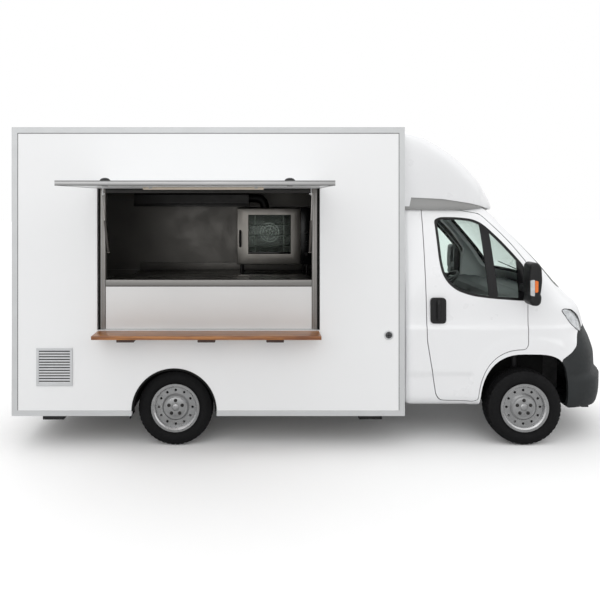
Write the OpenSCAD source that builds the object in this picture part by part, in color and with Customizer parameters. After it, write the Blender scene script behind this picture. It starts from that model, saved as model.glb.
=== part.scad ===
// Food truck: a white box body with a serving hatch, on a front-wheel-drive chassis cab.
// +X is forward, +Y is the left side, +Z is up; the wheels stand on z = 0.

/* [Overall] */
// Distance between the front and rear axles
wheelbase = 3000; // [2800:10:3600]
// From the rear axle back to the end of the box
rear_overhang = 1372; // [1200:4:1650]
// From the front axle forward to the bumper
front_overhang = 948; // [900:4:1000]

/* [Wheels] */
// Radius of a tyre
tyre_r = 322; // [300:1:345]
// Width of a tyre
tyre_w = 205; // [170:5:225]
// Radius of the rim under the tyre's bead
rim_r = 190; // [170:1:200]
// From the centreline to the middle of a wheel
half_track = 909.5; // [890:0.5:930]
// From the middle of a wheel in to its kingpin
kingpin_offset = 60; // [50:1:80]

/* [Box body] */
// Width of the box over its side walls
box_w = 2160; // [1900:10:2300]
// Height of the box's roof above the ground
box_top = 2722; // [2500:2:3200]
// Height of the lower edge of the side walls
box_bottom = 280; // [250:5:300]
// Thickness of the box's walls and roof
wall = 45; // [30:1:60]
// Width of the aluminium edge trim
trim_w = 47; // [30:1:60]
// Width of the entry door in the rear wall
rear_door_w = 720; // [600:10:900]
// Height of the entry door in the rear wall
rear_door_h = 1900; // [1600:10:2000]

/* [Serving side] */
// Length of the serving opening
opening_w = 1888; // [1500:4:2200]
// Height of the lower edge of the serving opening
opening_low = 1004; // [950:2:1100]
// Height of the upper edge of the serving opening
opening_high = 2206; // [2000:2:2300]
// Thickness of the hatch panel
hatch_t = 31; // [25:1:35]
// Depth of the wooden shelf
shelf_d = 240; // [150:5:300]
// Height of the counter top
counter_z = 1427; // [1400:1:1480]

/* [Gas struts] */
// From the hatch hinge out to the strut's pin
strut_reach = 180; // [170:1:200]
// From the hatch hinge down to the strut's upper pin
strut_drop = 64; // [60:1:70]
// From the hatch hinge down to the strut's lower pin
strut_foot = 562; // [550:1:600]
// Radius of the strut pins
strut_pin_r = 5; // [4:0.5:6]

/* [Cab] */
// Half the width of the cab at its belt line
cab_half = 1025; // [980:5:1060]
// Thickness of the cab's walls and doors
cab_t = 60; // [40:2:70]
// Height of the sills' lower edge
sill_z = 348; // [330:2:360]
// Gap round the doors and the bonnet
door_gap = 8; // [7:1:12]
// From the centreline out to a mirror's outer face
mirror_tip = 1254; // [1200:2:1300]

/* [Hidden] */
$fn = 64;
RIGHT = -1;
LEFT = 1;
SIDES = [RIGHT, LEFT];
far = 3000;          // Longer than any cut needs to be
eps = 0.1;           // Overrun of a cut past a face
seat_gap = 0.3;      // Between curved faces of neighbouring pieces

// Places along the truck
overall = rear_overhang + wheelbase + front_overhang;
box_back = -overall / 2;
rear_x = box_back + rear_overhang;
front_x = rear_x + wheelbase;
cab_back = -1037;    // Cab's rear face, from the front axle
cab_to_box = 10;
box_front = front_x + cab_back - cab_to_box;
box_mid = (box_back + box_front) / 2;
box_half = box_w / 2;

// Hatch: its hinge lies in the wall, just above the opening
hinge_in = 15;
hinge_up = 16;
hinge_y = -box_half + hinge_in;
hinge_z = opening_high + hinge_up;
hatch_gap = 3;
hatch_root = -box_half - 4;
hatch_edge = hinge_z - (hinge_y - hatch_root);   // Upper edge of the hatch when it is shut
shelf_clear = 5;
hatch_len = hatch_edge - (opening_low + shelf_clear);
hatch_tip = hatch_root - hatch_len;
hatch_hinge_r = 7;
hatch_hinge_w = 60;
hatch_hinge_xs = [for (f = [-0.45, -0.03, 0.39]) box_mid + f * opening_w];
centreline = (-hatch_tip - mirror_tip) / 2;

// Chassis
rail_h = 90;
rail_w = 60;
rail_top = 330;
rail_y = 400;
floor_t = 40;
floor_top = rail_top + floor_t;
axle_tube_r = 45;
axle_tube_x = rear_x + 180;
axle_tube_z = 266;
stub_r = 24;
stub_out = 68;       // From the middle of a wheel out to the stub axle's end
coupling_x = 83;     // Tow coupling's hole pitch across
coupling_z = 56;     // and its pitch up
coupling_hole_r = 6.5;
coupling_z0 = 300;
tow_eye_r = 12;
pipe_r = 26;
pipe_y = -260;
pipe_z = 272;

// Rear arch
arch_gap = 38;
rear_arch_r = tyre_r + arch_gap;
arch_skin = 20;
arch_inner = 690;

// Opening and the parts in it
post_w = 44;
post_gap = 20;
frame_out = -box_half + 36;
frame_in = frame_out + 50;
lower_pin_y = hinge_y + 60;
lower_pin_z = hinge_z - strut_foot;
upper_pin_y = hinge_y - strut_reach;
upper_pin_z = hinge_z - strut_drop;
strut_len = norm([upper_pin_y - lower_pin_y, upper_pin_z - lower_pin_z]);
strut_lean = atan2(lower_pin_y - upper_pin_y, upper_pin_z - lower_pin_z);
strut_eye_r = 9;
strut_eye_w = 10;
strut_x = opening_w / 2 - post_gap - post_w - 16;   // From the box's middle to a strut
tube_r = 10;
tube_len = 290;
rod_r = 4.5;

// Kitchen
lip_t = 51;
counter_d = 430;
sheet_t = 15;

// --- Outlines -------------------------------------------------------------

function unit(v) = v / norm(v);
function left_of(a, b) = let (d = unit(b - a)) [-d[1], d[0]];

// An anticlockwise outline moved inwards by t
function inset(p, t) = [for (i = [0:len(p) - 1])
    let (n = len(p), u = left_of(p[(i + n - 1) % n], p[i]), v = left_of(p[i], p[(i + 1) % n]))
    p[i] + t * (u + v) / (1 + u * v)];

function reversed(p) = [for (i = [len(p) - 1:-1:0]) p[i]];

// Quarter of a superellipse with half-axes a and b, from angle a0 to a1
function rounded(cx, cz, a, b, n, a0, a1, steps) = [for (i = [0:steps])
    let (t = a0 + (a1 - a0) * i / steps)
    [cx + a * sign(cos(t)) * pow(abs(cos(t)), 2 / n), cz + b * pow(abs(sin(t)), 2 / n)]];

// Front wheel arch: [x from the front axle, z], grown by ga along and gb up
arch_mid = -6;
arch_a = tyre_r + 63;
arch_b = tyre_r + 146;
arch_steps = 7;
function arch_front(ga, gb) = rounded(arch_mid, tyre_r, arch_a + ga, arch_b + gb, 4, 0, 90, arch_steps);
function arch_rear(ga, gb) = rounded(arch_mid, tyre_r, arch_a + ga, arch_b + gb, 2.4, 90, 180, arch_steps);
function arch_outline(g) = concat(
    [[arch_mid - arch_a - g, 0], [arch_mid + arch_a + g, 0]],
    arch_front(g, g), [for (i = [1:arch_steps]) arch_rear(g, g)[i]]);

// Cab seen from the side: [x from the front axle, z]
screen_foot = [498, 1301];
screen_head = [-220, 2045];
cab_side = [[cab_back, sill_z], [390, sill_z], [410, 325], [front_overhang - 60, 325],
    [front_overhang - 8, 400], [front_overhang, 540], [front_overhang - 55, 600],
    [front_overhang - 55, 740], [front_overhang - 100, 870], [front_overhang - 160, 1000],
    [front_overhang - 230, 1110], [front_overhang - 330, 1215],
    screen_foot, screen_head, [-290, 2120], [cab_back, 2120]];

// Cab seen from the front: [z, how far it leans in from the widest]
cab_lean = [[300, 40], [420, 7], [626, 0], [1023, 0], [1300, 25], [2020, 163], [2100, 225], [2130, 325]];
cab_face = concat([for (r = cab_lean) [cab_half - r[1], r[0]]],
    [for (r = reversed(cab_lean)) [-cab_half + r[1], r[0]]]);

// Cab seen from above: [x from the front axle, how far it draws in]
cab_draw = [[cab_back, 0], [40, 0], [290, 12], [490, 55], [640, 125], [front_overhang - 128, 425],
    [front_overhang - 20, 725]];
cab_plan = concat([for (r = cab_draw) [r[0], -cab_half + r[1]]], [[front_overhang, 0]],
    [for (r = reversed(cab_draw)) [r[0], cab_half - r[1]]]);

// Cab door: [x from the front axle, z]
door_top = 2020;
door_outline = concat(
    [[-340, 1976], [-851, door_top], [-840, 912], [-798, 657], [-764, 441], [-729, 396], [-444, 387]],
    reversed([for (p = arch_rear(20, 43)) if (p[1] > 400) p]),
    [[16, 865], [21, 1202], [39, 1562], [-82, 1720], [-183, 1829]]);
hinge_x = 12;
door_hinge_y = cab_half - 5;
door_swing_r = hinge_x + 851;
cab_hinge_zs = [895, 1000];
cab_hinge_r = 5;
cab_hinge_half = 22;
cab_hinge_notch = 12;

window_outline = [[-735, 1915], [-712, 1580], [-690, 1470], [-645, 1392], [-570, 1335], [-450, 1297],
    [-280, 1275], [-75, 1262], [-60, 1560], [-100, 1640], [-310, 1865], [-430, 1930], [-690, 1942]];
divider = [[-440, 1990], [-340, 1200], [-262, 1200], [-362, 1990]];

screen_outline = [[-890, 1340], [890, 1340], [730, 1985], [-730, 1985]];

bonnet_half = 760;
bonnet_back = screen_foot[0] + 14;
bonnet_front_z = 1115;
function bonnet_zone(g) = [[bonnet_back - g, bonnet_front_z - g], [front_overhang, bonnet_front_z - g],
    [front_overhang, 1400], [bonnet_back - g, 1400]];

bumper_zone = [[300, 250], [front_overhang + 50, 250], [front_overhang + 50, 983], [474, 983],
    [486, 930], [475, 843], [420, 795], [314, 731], [300, 731]];
lamp_zone = [[388, 985], [590, 985], [560, 1155], [420, 1140]];

firewall_x = 60;
firewall_t = 20;
cowl_z = 1245;
cabin_floor = 560;

// --- Prisms ---------------------------------------------------------------

// An outline of [x, z] points drawn out along Y
module side_prism(points, y0, y1) {
    translate([0, y1, 0]) rotate([90, 0, 0]) linear_extrude(y1 - y0) polygon(points);
}

// An outline of [y, z] points drawn out along X
module face_prism(points, x0, x1) {
    translate([x0, 0, 0]) rotate([90, 0, 90]) linear_extrude(x1 - x0) polygon(points);
}

module block(low, high) {
    translate(low) cube(high - low);
}

// A round bar along Y
module bar_y(r, x, z, y0, y1) {
    translate([x, y1, z]) rotate([90, 0, 0]) cylinder(h = y1 - y0, r = r);
}

// A round bar along X
module bar_x(r, y, z, x0, x1) {
    translate([x0, y, z]) rotate([0, 90, 0]) cylinder(h = x1 - x0, r = r);
}

// The same thing on the right and the left
module both_sides() {
    children();
    mirror([0, 1, 0]) children();
}

module on_side(side) {
    if (side == LEFT) children();
    else mirror([0, 1, 0]) children();
}

// --- Chassis --------------------------------------------------------------

module chassis_frame() {
    beam_d = 70;
    rail_end = front_x + front_overhang - 318;
    cross_x = [rear_x - 500, rear_x + 600, rear_x + 1300, front_x - 900, front_x + 330];
    mount_x = [front_x + cab_back + 120, front_x + 300];
    color("dimgray") difference() {
        union() {
            both_sides() {
                block([box_back + beam_d, rail_y, rail_top - rail_h], [rail_end, rail_y + rail_w, rail_top]);
                for (x = mount_x)
                    block([x, rail_y, rail_top - eps], [x + 80, rail_y + rail_w, sill_z]);
            }
            for (x = cross_x)
                block([x, -rail_y - eps, rail_top - 70], [x + 60, rail_y + eps, rail_top]);
            block([box_back, -750, rail_top - rail_h], [box_back + beam_d, 750, floor_top]);
            block([rail_end - eps, -700, rail_top - rail_h], [rail_end + 60, 700, rail_top]);
        }
        bar_x(pipe_r + 5, pipe_y, pipe_z, box_back + beam_d + 1, rail_end - 1);
        bar_y(axle_tube_r + seat_gap, axle_tube_x, axle_tube_z, -far, far);
        for (y = [-coupling_x / 2, coupling_x / 2], z = [-coupling_z / 2, coupling_z / 2])
            bar_x(coupling_hole_r, y, coupling_z0 + z, box_back - eps, box_back + beam_d + eps);
    }
}

module engine_block() {
    color("slategray")
        block([front_x + 130, -rail_y + 10, rail_top], [front_x + 540, rail_y - 60, 950]);
}

// A pipe from under the engine to behind the box's middle, with its silencer
module exhaust() {
    silencer_r = 60;
    riser_x = front_x + 200;
    color("dimgray") union() {
        bar_x(pipe_r, pipe_y, pipe_z, axle_tube_x + 120, riser_x);
        bar_x(silencer_r, pipe_y, pipe_z - 4, front_x - 1500, front_x - 1000);
        translate([riser_x - pipe_r, pipe_y, pipe_z]) cylinder(h = rail_top - pipe_z, r = pipe_r);
    }
}

module fuel_tank() {
    color("darkslategray")
        block([box_mid + 300, rail_y + rail_w, rail_top - 95], [box_mid + 1150, rail_y + 460, rail_top]);
}

module battery_box() {
    color("black")
        block([box_front - 380, -box_half + wall, 237], [box_front - 185, -box_half + 300, rail_top]);
}

module corner_steadies() {
    color("black") both_sides()
        block([box_back + 245, box_half - 200, 233], [box_back + 423, box_half - wall - 5, rail_top]);
}

// --- Axles and wheels -----------------------------------------------------

module rear_axle() {
    arm_y = 705;
    arm_w = 50;
    color("dimgray") union() {
        bar_y(axle_tube_r, axle_tube_x, axle_tube_z, -arm_y - arm_w, arm_y + arm_w);
        both_sides() {
            hull() {
                bar_y(50, axle_tube_x, axle_tube_z, arm_y, arm_y + arm_w);
                bar_y(40, rear_x, tyre_r, arm_y, arm_y + arm_w);
            }
            bar_y(stub_r, rear_x, tyre_r, arm_y, half_track + stub_out);
        }
    }
}

kingpin_y = half_track - kingpin_offset;
kingpin_r = 14;
kingpin_run = 0.4;
boss_h = 24;
boss_low = tyre_r - 122;
boss_high = tyre_r + 98;

// Carries each knuckle between two bosses; the strut leg stands inboard of the tyre
module front_suspension() {
    leg_y = kingpin_y - 110;
    leg_r = 26;
    color("dimgray") difference() {
        union() {
            block([front_x - 60, -kingpin_y + 260, rail_top - rail_h - 15],
                [front_x + 60, kingpin_y - 260, rail_top - rail_h]);
            both_sides() {
                block([front_x - 30, kingpin_y - 300, boss_low],
                    [front_x + 30, kingpin_y, boss_low + boss_h]);
                block([front_x - 40, kingpin_y - 300, boss_low],
                    [front_x + 40, kingpin_y - 258, rail_top - rail_h]);
                block([front_x - 22, leg_y, boss_high], [front_x + 22, kingpin_y, boss_high + boss_h]);
                intersection() {
                    translate([front_x, leg_y, boss_high]) cylinder(h = far, r = leg_r);
                    arch_space(0, leg_y - leg_r);
                }
                for (z = [boss_low, boss_high])
                    translate([front_x, kingpin_y, z]) cylinder(h = boss_h, r = 30);
            }
        }
        both_sides() translate([front_x, kingpin_y, 0])
            cylinder(h = far, r = kingpin_r + kingpin_run);
    }
}

module knuckle(side) {
    pin_over = 4;
    head_gap = 5;
    color("gray") on_side(side) translate([front_x, kingpin_y, 0]) union() {
        translate([0, 0, boss_low - pin_over])
            cylinder(h = boss_high - boss_low + boss_h + 2 * pin_over, r = kingpin_r);
        block([-40, -36, boss_low + boss_h + head_gap], [40, 36, boss_high - head_gap]);
        bar_y(stub_r, 0, tyre_r, 0, kingpin_offset + stub_out);
    }
}

module tyre(x, side) {
    half = tyre_w / 2;
    // Half of the section, [radius, distance from the middle]
    section = [[rim_r + seat_gap, 0], [rim_r + seat_gap, half - 22], [rim_r + 18, half - 20], [rim_r + 30, half - 6],
        [rim_r + 65, half], [tyre_r - 40, half - 6], [tyre_r - 14, half - 18], [tyre_r - 4, half - 36], [tyre_r, half - 60],
        [tyre_r, 0]];
    color("black") translate([x, side * half_track, tyre_r]) rotate([90, 0, 0])
        rotate_extrude($fn = 96)
            polygon(concat(section, [for (p = reversed(section)) if (p[1] > 0) [p[0], -p[1]]]));
}

module rim(x, side) {
    half = tyre_w / 2;
    lip_r = rim_r + 17;
    vent_count = 12;
    vent_ring = 145;
    bore_run = 0.5;
    // Section, [radius, distance outboard of the middle]
    section = [[stub_r + bore_run, 56], [96, 56], [112, 42], [178, 42], [178, -half + 20], [188, -half + 8],
        [lip_r, -half + 8], [lip_r, -half + 16], [rim_r, -half + 18], [rim_r, half - 18], [lip_r, half - 16],
        [lip_r, half - 8], [188, half - 8], [180, 54], [116, 54], [100, 70], [stub_r + bore_run, 70]];
    color("lightgray") translate([x, side * half_track, tyre_r]) rotate([side * -90, 0, 0]) difference() {
        rotate_extrude($fn = 96) polygon(section);
        for (i = [0:vent_count - 1])
            rotate(360 / vent_count * i) translate([vent_ring, 0, 0]) cylinder(h = 200, r = 11, center = true);
    }
}

// --- Cab ------------------------------------------------------------------

// The cab's outer form, drawn in by t all round
module cab_form(t) {
    translate([front_x, 0, 0]) intersection() {
        side_prism(inset(cab_side, t), -far, far);
        face_prism(inset(cab_face, t), -far, far);
        linear_extrude(far) polygon(inset(cab_plan, t));
    }
}

module cab_skin(t0, t1) {
    difference() {
        cab_form(t0);
        cab_form(t1);
    }
}

// Space of a cab door, grown by g
module door_space(side, g) {
    translate([front_x, 0, 0]) on_side(side) intersection() {
        side_prism(inset(door_outline, -g), cab_half - 250, far);
        face_prism([[cab_half - cab_t - g, 0], [far, 0], [far, far], [0, far], [0, screen_foot[1]],
            [cab_half - cab_t - g, cab_lean[3][0]]], -far, far);
        translate([hinge_x, door_hinge_y, 0]) cylinder(h = far, r = door_swing_r + g, $fn = 128);
    }
}

module cab_side_space(outline, side) {
    translate([front_x, 0, 0]) on_side(side) side_prism(outline, cab_half - 270, far);
}

module lamp_space(g) {
    translate([front_x, 0, 0]) both_sides() side_prism(inset(lamp_zone, -g), 700, far);
}

module bonnet_space(g) {
    translate([front_x, 0, 0]) side_prism(bonnet_zone(g), -bonnet_half - g, bonnet_half + g);
}

module bumper_space() {
    translate([front_x, 0, 0]) side_prism(bumper_zone, -far, far);
}

module arch_space(g, y) {
    translate([front_x, 0, 0]) both_sides() side_prism(arch_outline(g), y, far);
}

arch_wall = kingpin_y - 230;    // Inner wall of the front wheel arch
arch_lining = 14;

module cab_body() {
    buffer_r = 10;
    color("white") for (side = SIDES) cab_door_hinges(side, 34, -cab_hinge_half, -seat_gap);
    color("white") both_sides()
        translate([front_x + front_overhang - 263, bonnet_half - 240, bonnet_front_z - door_gap - eps])
            cylinder(h = door_gap + eps - seat_gap, r = buffer_r);
    color("white") difference() {
        union() {
            cab_skin(0, cab_t);
            intersection() {
                cab_form(cab_t / 2);
                arch_space(arch_lining, arch_wall - arch_lining);
            }
            intersection() {
                cab_form(cab_t / 2);
                union() {
                    block([front_x + firewall_x, -far, sill_z], [front_x + firewall_x + firewall_t, far, cowl_z]);
                    block([front_x + firewall_x, -far, cowl_z], [front_x + screen_foot[0] - 20, far, cowl_z + 20]);
                    block([front_x + cab_back, -cab_half + 200, sill_z + 10],
                        [front_x + firewall_x + 5, cab_half - 200, cabin_floor]);
                }
            }
        }
        for (side = SIDES) door_space(side, door_gap);
        arch_space(0, arch_wall);
        face_prism(screen_outline, front_x - 400, front_x + 620);
        bonnet_space(door_gap);
        bumper_space();
        lamp_space(0);
        block([front_x + firewall_x + firewall_t, -arch_wall + arch_lining, 0],
            [front_x + 560, arch_wall - arch_lining, sill_z + cab_t + 1]);
        block([front_x + 300, -far, 0], [front_x + 560, far, sill_z + cab_t + 1]);
    }
}

module bonnet() {
    color("white") intersection() {
        cab_skin(0, cab_t);
        bonnet_space(0);
    }
}

module front_bumper() {
    color("darkslategray") difference() {
        intersection() {
            cab_skin(0, cab_t);
            bumper_space();
        }
        lamp_space(0);
        arch_space(0, arch_wall - arch_lining - 100);
        block([front_x + 300, -far, 0], [front_x + front_overhang - 250, far, sill_z + cab_t + 1]);
        translate([front_x + front_overhang - 100, 350, 470]) rotate([0, 90, 0])
            cylinder(h = 200, r = tow_eye_r);
    }
}

module headlights() {
    color("lightgray") difference() {
        intersection() {
            cab_skin(0, cab_t - 10);
            lamp_space(0);
        }
        bonnet_space(door_gap);
    }
}

module windscreen() {
    color("darkseagreen") intersection() {
        cab_skin(8, 14);
        face_prism(screen_outline, front_x - 400, front_x + 620);
    }
}

module cab_door(side) {
    color("white") cab_door_hinges(side, -cab_hinge_notch - 2, 0, cab_hinge_half);
    color("white") difference() {
        intersection() {
            cab_skin(0, cab_t);
            door_space(side, 0);
        }
        translate([front_x, 0, 0]) on_side(side) for (z = cab_hinge_zs)
            block([hinge_x - cab_hinge_notch, door_hinge_y - cab_hinge_notch, z - cab_hinge_half - 5],
                [hinge_x + far, far, z + cab_hinge_half + 5]);
        difference() {
            cab_side_space(window_outline, side);
            cab_side_space(divider, side);
        }
    }
}

module door_glass(side) {
    color("darkseagreen") difference() {
        intersection() {
            cab_skin(12, 18);
            cab_side_space(window_outline, side);
        }
        cab_side_space(divider, side);
    }
}

// One half of each door hinge: a barrel on the hinge line and a web to the door or the pillar
module cab_door_hinges(side, web, z0, z1) {
    translate([front_x, 0, 0]) on_side(side) for (z = cab_hinge_zs) {
        translate([hinge_x, door_hinge_y, z + z0]) cylinder(h = z1 - z0, r = cab_hinge_r);
        block([min(hinge_x, hinge_x + web), door_hinge_y - cab_hinge_r, z + z0],
            [max(hinge_x, hinge_x + web), door_hinge_y + cab_hinge_r - 0.5, z + z1]);
    }
}

// Housing on a stubby arm from the door's front corner
module mirror_housing(side) {
    outline = [[-72, 1260], [-50, 1232], [20, 1230], [44, 1262], [56, 1420], [48, 1560], [30, 1592], [-40, 1594],
        [-66, 1570], [-72, 1420]];
    housing_in = cab_half + 62;
    color("black") translate([front_x, 0, 0]) on_side(side) difference() {
        union() {
            side_prism(outline, housing_in, mirror_tip);
            block([-50, cab_half - 60, 1330], [4, housing_in + 20, 1390]);
        }
        translate([-front_x, 0, 0]) cab_form(0);
    }
}

dash_outline = [[firewall_x, 960], [firewall_x, cowl_z + 20], [-60, 1255], [-120, 1235], [-150, 1180], [-130, 1000]];
wheel_y = 430;
wheel_lean = 38;
wheel_centre = [front_x - 320, wheel_y, 1225];
column_len = 230;

module dashboard() {
    dash_half = cab_half - 120;
    color("dimgray") union() {
        translate([front_x, 0, 0]) side_prism(reversed(dash_outline), -dash_half, dash_half);
        translate(wheel_centre) rotate([0, 180 - wheel_lean, 0]) translate([0, 0, 40])
            cylinder(h = column_len, r = 30);
    }
}

module steering_wheel() {
    ring_r = 190;
    grip_r = 15;
    color("black") translate(wheel_centre) rotate([0, -wheel_lean, 0]) union() {
        rotate_extrude() translate([ring_r, 0]) circle(grip_r, $fn = 24);
        translate([0, 0, -40 + seat_gap]) cylinder(h = 60, r = 50);
        for (a = [90, 210, 330])
            rotate(a) translate([0, -16, -10]) cube([ring_r, 32, 16]);
    }
}

seat_w = 480;
seat_base_h = 190;
cushion_h = 120;
cushion_z = cabin_floor + seat_base_h;

module seat_bases() {
    color("dimgray") both_sides()
        block([front_x - 740, wheel_y - 160, cabin_floor], [front_x - 330, wheel_y + 160, cushion_z]);
}

module seats() {
    back = [[-765, cushion_z], [-865, 1420], [-945, 1420], [-870, cushion_z]];
    color("darkslategray") translate([front_x, 0, 0]) both_sides() {
        union() {
            block([-870, wheel_y - seat_w / 2, cushion_z], [-280, wheel_y + seat_w / 2, cushion_z + cushion_h]);
            side_prism(reversed(back), wheel_y - seat_w / 2, wheel_y + seat_w / 2);
            block([-945, wheel_y - 130, 1419], [-865, wheel_y + 130, 1650]);
        }
    }
}

// --- Roof fairing ---------------------------------------------------------

fairing_top = box_top + 3;
// Seen from the side: [x from the front axle, z]
fairing_side = [[-1030, 2034], [-227, 2034], [-243, 2092], [-372, 2290], [-549, 2467],
    [-754, 2616], [-952, fairing_top], [-1030, fairing_top]];
// Seen from the front: [y, z]
fairing_face = [[-850, 1990], [850, 1990], [1010, 2480], [1045, fairing_top + 20], [-1045, fairing_top + 20],
    [-1010, 2480]];
// Seen from above: [x from the front axle, y]
fairing_plan = [[-1030, -1060], [-700, -1040], [-330, -830], [-200, -560], [-200, 560], [-330, 830], [-700, 1040],
    [-1030, 1060]];

module fairing_form(t) {
    translate([front_x, 0, 0]) intersection() {
        side_prism(inset(fairing_side, t), -far, far);
        face_prism(inset(fairing_face, t), -far, far);
        linear_extrude(far) polygon(inset(fairing_plan, t));
    }
}

module roof_fairing() {
    skin = 30;
    color("white") difference() {
        fairing_form(0);
        fairing_form(skin);
        translate([front_x, 0, 0]) intersection() {
            side_prism(cab_side, -far, far);
            face_prism(cab_face, -far, far);
        }
        block([front_x - far, -760, 2150], [front_x - 950, 760, fairing_top - 80]);
    }
}

// --- Box body -------------------------------------------------------------

module rear_arch_space(r, y) {
    both_sides() bar_y(r, rear_x, tyre_r, y, far);
}

module box_floor() {
    inner = box_half - wall;
    color("tan") difference() {
        union() {
            block([box_back + 70, -inner, rail_top], [box_front - wall, inner, floor_top]);
            intersection() {
                rear_arch_space(rear_arch_r + arch_skin, arch_inner - arch_skin);
                block([-far, -inner, rail_top], [far, inner, far]);
            }
        }
        rear_arch_space(rear_arch_r, arch_inner);
        both_sides()
            block([rear_x - 300, arch_inner, 0], [rear_x + 300, box_half, rail_top + 1]);
    }
}

module box_roof() {
    inner = box_half - wall;
    color("white") block([box_back, -inner, box_top - wall], [box_front, inner, box_top]);
}

module side_wall() {
    difference() {
        block([box_back, box_half - wall, box_bottom], [box_front, box_half, box_top]);
        bar_y(rear_arch_r, rear_x, tyre_r, 0, far);
        block([rear_x - rear_arch_r, 0, 0], [rear_x + rear_arch_r, far, tyre_r]);
    }
}

// The opening's head is cut back on the outside, where the hatch's hinge lies
module box_right_wall() {
    color("white") for (x = hatch_hinge_xs) {
        bar_x(hatch_hinge_r, hinge_y, hinge_z, x + hatch_hinge_w + seat_gap, x + 2 * hatch_hinge_w);
        block([x + hatch_hinge_w + seat_gap, hinge_y - 3, hinge_z], [x + 2 * hatch_hinge_w, frame_out, opening_high + hatch_t]);
    }
    color("white") difference() {
        mirror([0, 1, 0]) side_wall();
        block([box_mid - opening_w / 2, -far, opening_low], [box_mid + opening_w / 2, 0, opening_high]);
        block([box_mid - opening_w / 2, -far, opening_high - eps],
            [box_mid + opening_w / 2, frame_out, opening_high + hatch_t]);
    }
}

module box_left_wall() {
    color("white") side_wall();
}

module box_front_wall() {
    inner = box_half - wall;
    color("white") block([box_front - wall, -inner, rail_top], [box_front, inner, box_top - wall]);
}

door_low = floor_top + 30;

module rear_door_space(g, x1) {
    block([box_back - 20, -rear_door_w / 2 - g, door_low - g],
        [x1, rear_door_w / 2 + g, door_low + rear_door_h + g]);
}

module box_rear_wall() {
    inner = box_half - wall;
    color("white") rear_hinges(-40, rear_hinge_half + seat_gap, 2 * rear_hinge_half);
    color("white") difference() {
        block([box_back, -inner, floor_top], [box_back + wall, inner, box_top - wall]);
        rear_door_space(door_gap, box_back + wall + 1);
    }
}

rear_hinge_y = -rear_door_w / 2 - 4;
rear_hinge_x = box_back - 8;
rear_hinge_r = 6;
rear_hinge_half = 60;
rear_hinge_zs = [door_low + 150, door_low + rear_door_h / 2, door_low + rear_door_h - 270];

// One half of each hinge: a barrel and its leaf, on the door's side or the wall's
module rear_hinges(leaf_w, z0, z1) {
    for (z = rear_hinge_zs) {
        translate([rear_hinge_x, rear_hinge_y, z + z0]) cylinder(h = z1 - z0, r = rear_hinge_r);
        block([rear_hinge_x - 2, min(rear_hinge_y, rear_hinge_y + leaf_w), z + z0],
            [box_back, max(rear_hinge_y, rear_hinge_y + leaf_w), z + z1]);
    }
}

module rear_door() {
    window_w = 380;
    window_h = 420;
    knob_z = door_low + 950;
    color("white") difference() {
        union() {
            block([box_back, -rear_door_w / 2, door_low], [box_back + wall, rear_door_w / 2, door_low + rear_door_h]);
            block([box_back - 12, rear_door_w / 2 - 90, knob_z], [box_back, rear_door_w / 2 - 60, knob_z + 160]);
            rear_hinges(40, 0, rear_hinge_half);
        }
        block([box_back - 1, -window_w / 2, door_low + 1250], [box_back + 15, window_w / 2, door_low + 1250 + window_h]);
    }
}

module rear_lamps() {
    color("red") both_sides()
        block([box_back - 12, box_half - 230, 480], [box_back, box_half - 90, 900]);
}

module box_trim() {
    proud = 3;
    color("gainsboro") both_sides() difference() {
        block([box_back, box_half, box_bottom], [box_front, box_half + proud, box_top]);
        block([box_back + trim_w, 0, box_bottom + trim_w], [box_front - trim_w, far, box_top - trim_w]);
        bar_y(rear_arch_r, rear_x, tyre_r, 0, far);
        block([rear_x - rear_arch_r, 0, 0], [rear_x + rear_arch_r, far, tyre_r]);
    }
}

// --- Serving side ---------------------------------------------------------

// Drawn open; the struts' brackets hang below it
module serving_hatch() {
    half = opening_w / 2 - hatch_gap;
    color("white") union() {
        block([box_mid - half, hatch_tip, opening_high], [box_mid + half, hatch_root, opening_high + hatch_t]);
        for (x = hatch_hinge_xs) {
            bar_x(hatch_hinge_r, hinge_y, hinge_z, x, x + hatch_hinge_w);
            block([x, hatch_root - 10, hinge_z - 5], [x + hatch_hinge_w, hinge_y, hinge_z + 5]);
        }
        for (side = SIDES) translate([box_mid + side * (strut_x - strut_eye_w / 2 - 2.6), 0, 0]) {
            block([-2, upper_pin_y - 20, upper_pin_z - 12], [2, upper_pin_y + 20, opening_high + 1]);
            bar_x(strut_pin_r, upper_pin_y, upper_pin_z,
                side == LEFT ? -14 : 0, side == LEFT ? 0 : 14);
        }
    }
}

module along_strut() {
    translate([box_mid, lower_pin_y, lower_pin_z]) rotate([strut_lean, 0, 0]) children();
}

module strut_cylinders() {
    run = 0.3;
    bottom = 14;
    color("dimgray") along_strut() for (side = SIDES) translate([side * strut_x, 0, 0]) difference() {
        union() {
            bar_x(strut_eye_r, 0, 0, -strut_eye_w / 2, strut_eye_w / 2);
            translate([0, 0, 4]) cylinder(h = bottom, r = strut_eye_w / 2 - 1);
            translate([0, 0, bottom]) cylinder(h = tube_len, r = tube_r);
        }
        bar_x(strut_pin_r + run, 0, 0, -strut_eye_w, strut_eye_w);
        translate([0, 0, bottom + 20]) cylinder(h = tube_len, r = rod_r + run);
    }
}

module strut_rods() {
    run = 0.3;
    rod_start = 290;
    color("silver") along_strut() for (side = SIDES) translate([side * strut_x, 0, 0]) difference() {
        union() {
            translate([0, 0, rod_start]) cylinder(h = strut_len - rod_start - 4, r = rod_r);
            rod_eye();
        }
        translate([0, 0, strut_len]) rotate([0, 90, 0])
            cylinder(h = 3 * strut_eye_w, r = strut_pin_r + run, center = true);
    }
}

module rod_eye() {
    translate([-strut_eye_w / 2, 0, strut_len]) rotate([0, 90, 0]) cylinder(h = strut_eye_w, r = strut_eye_r);
}

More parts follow.
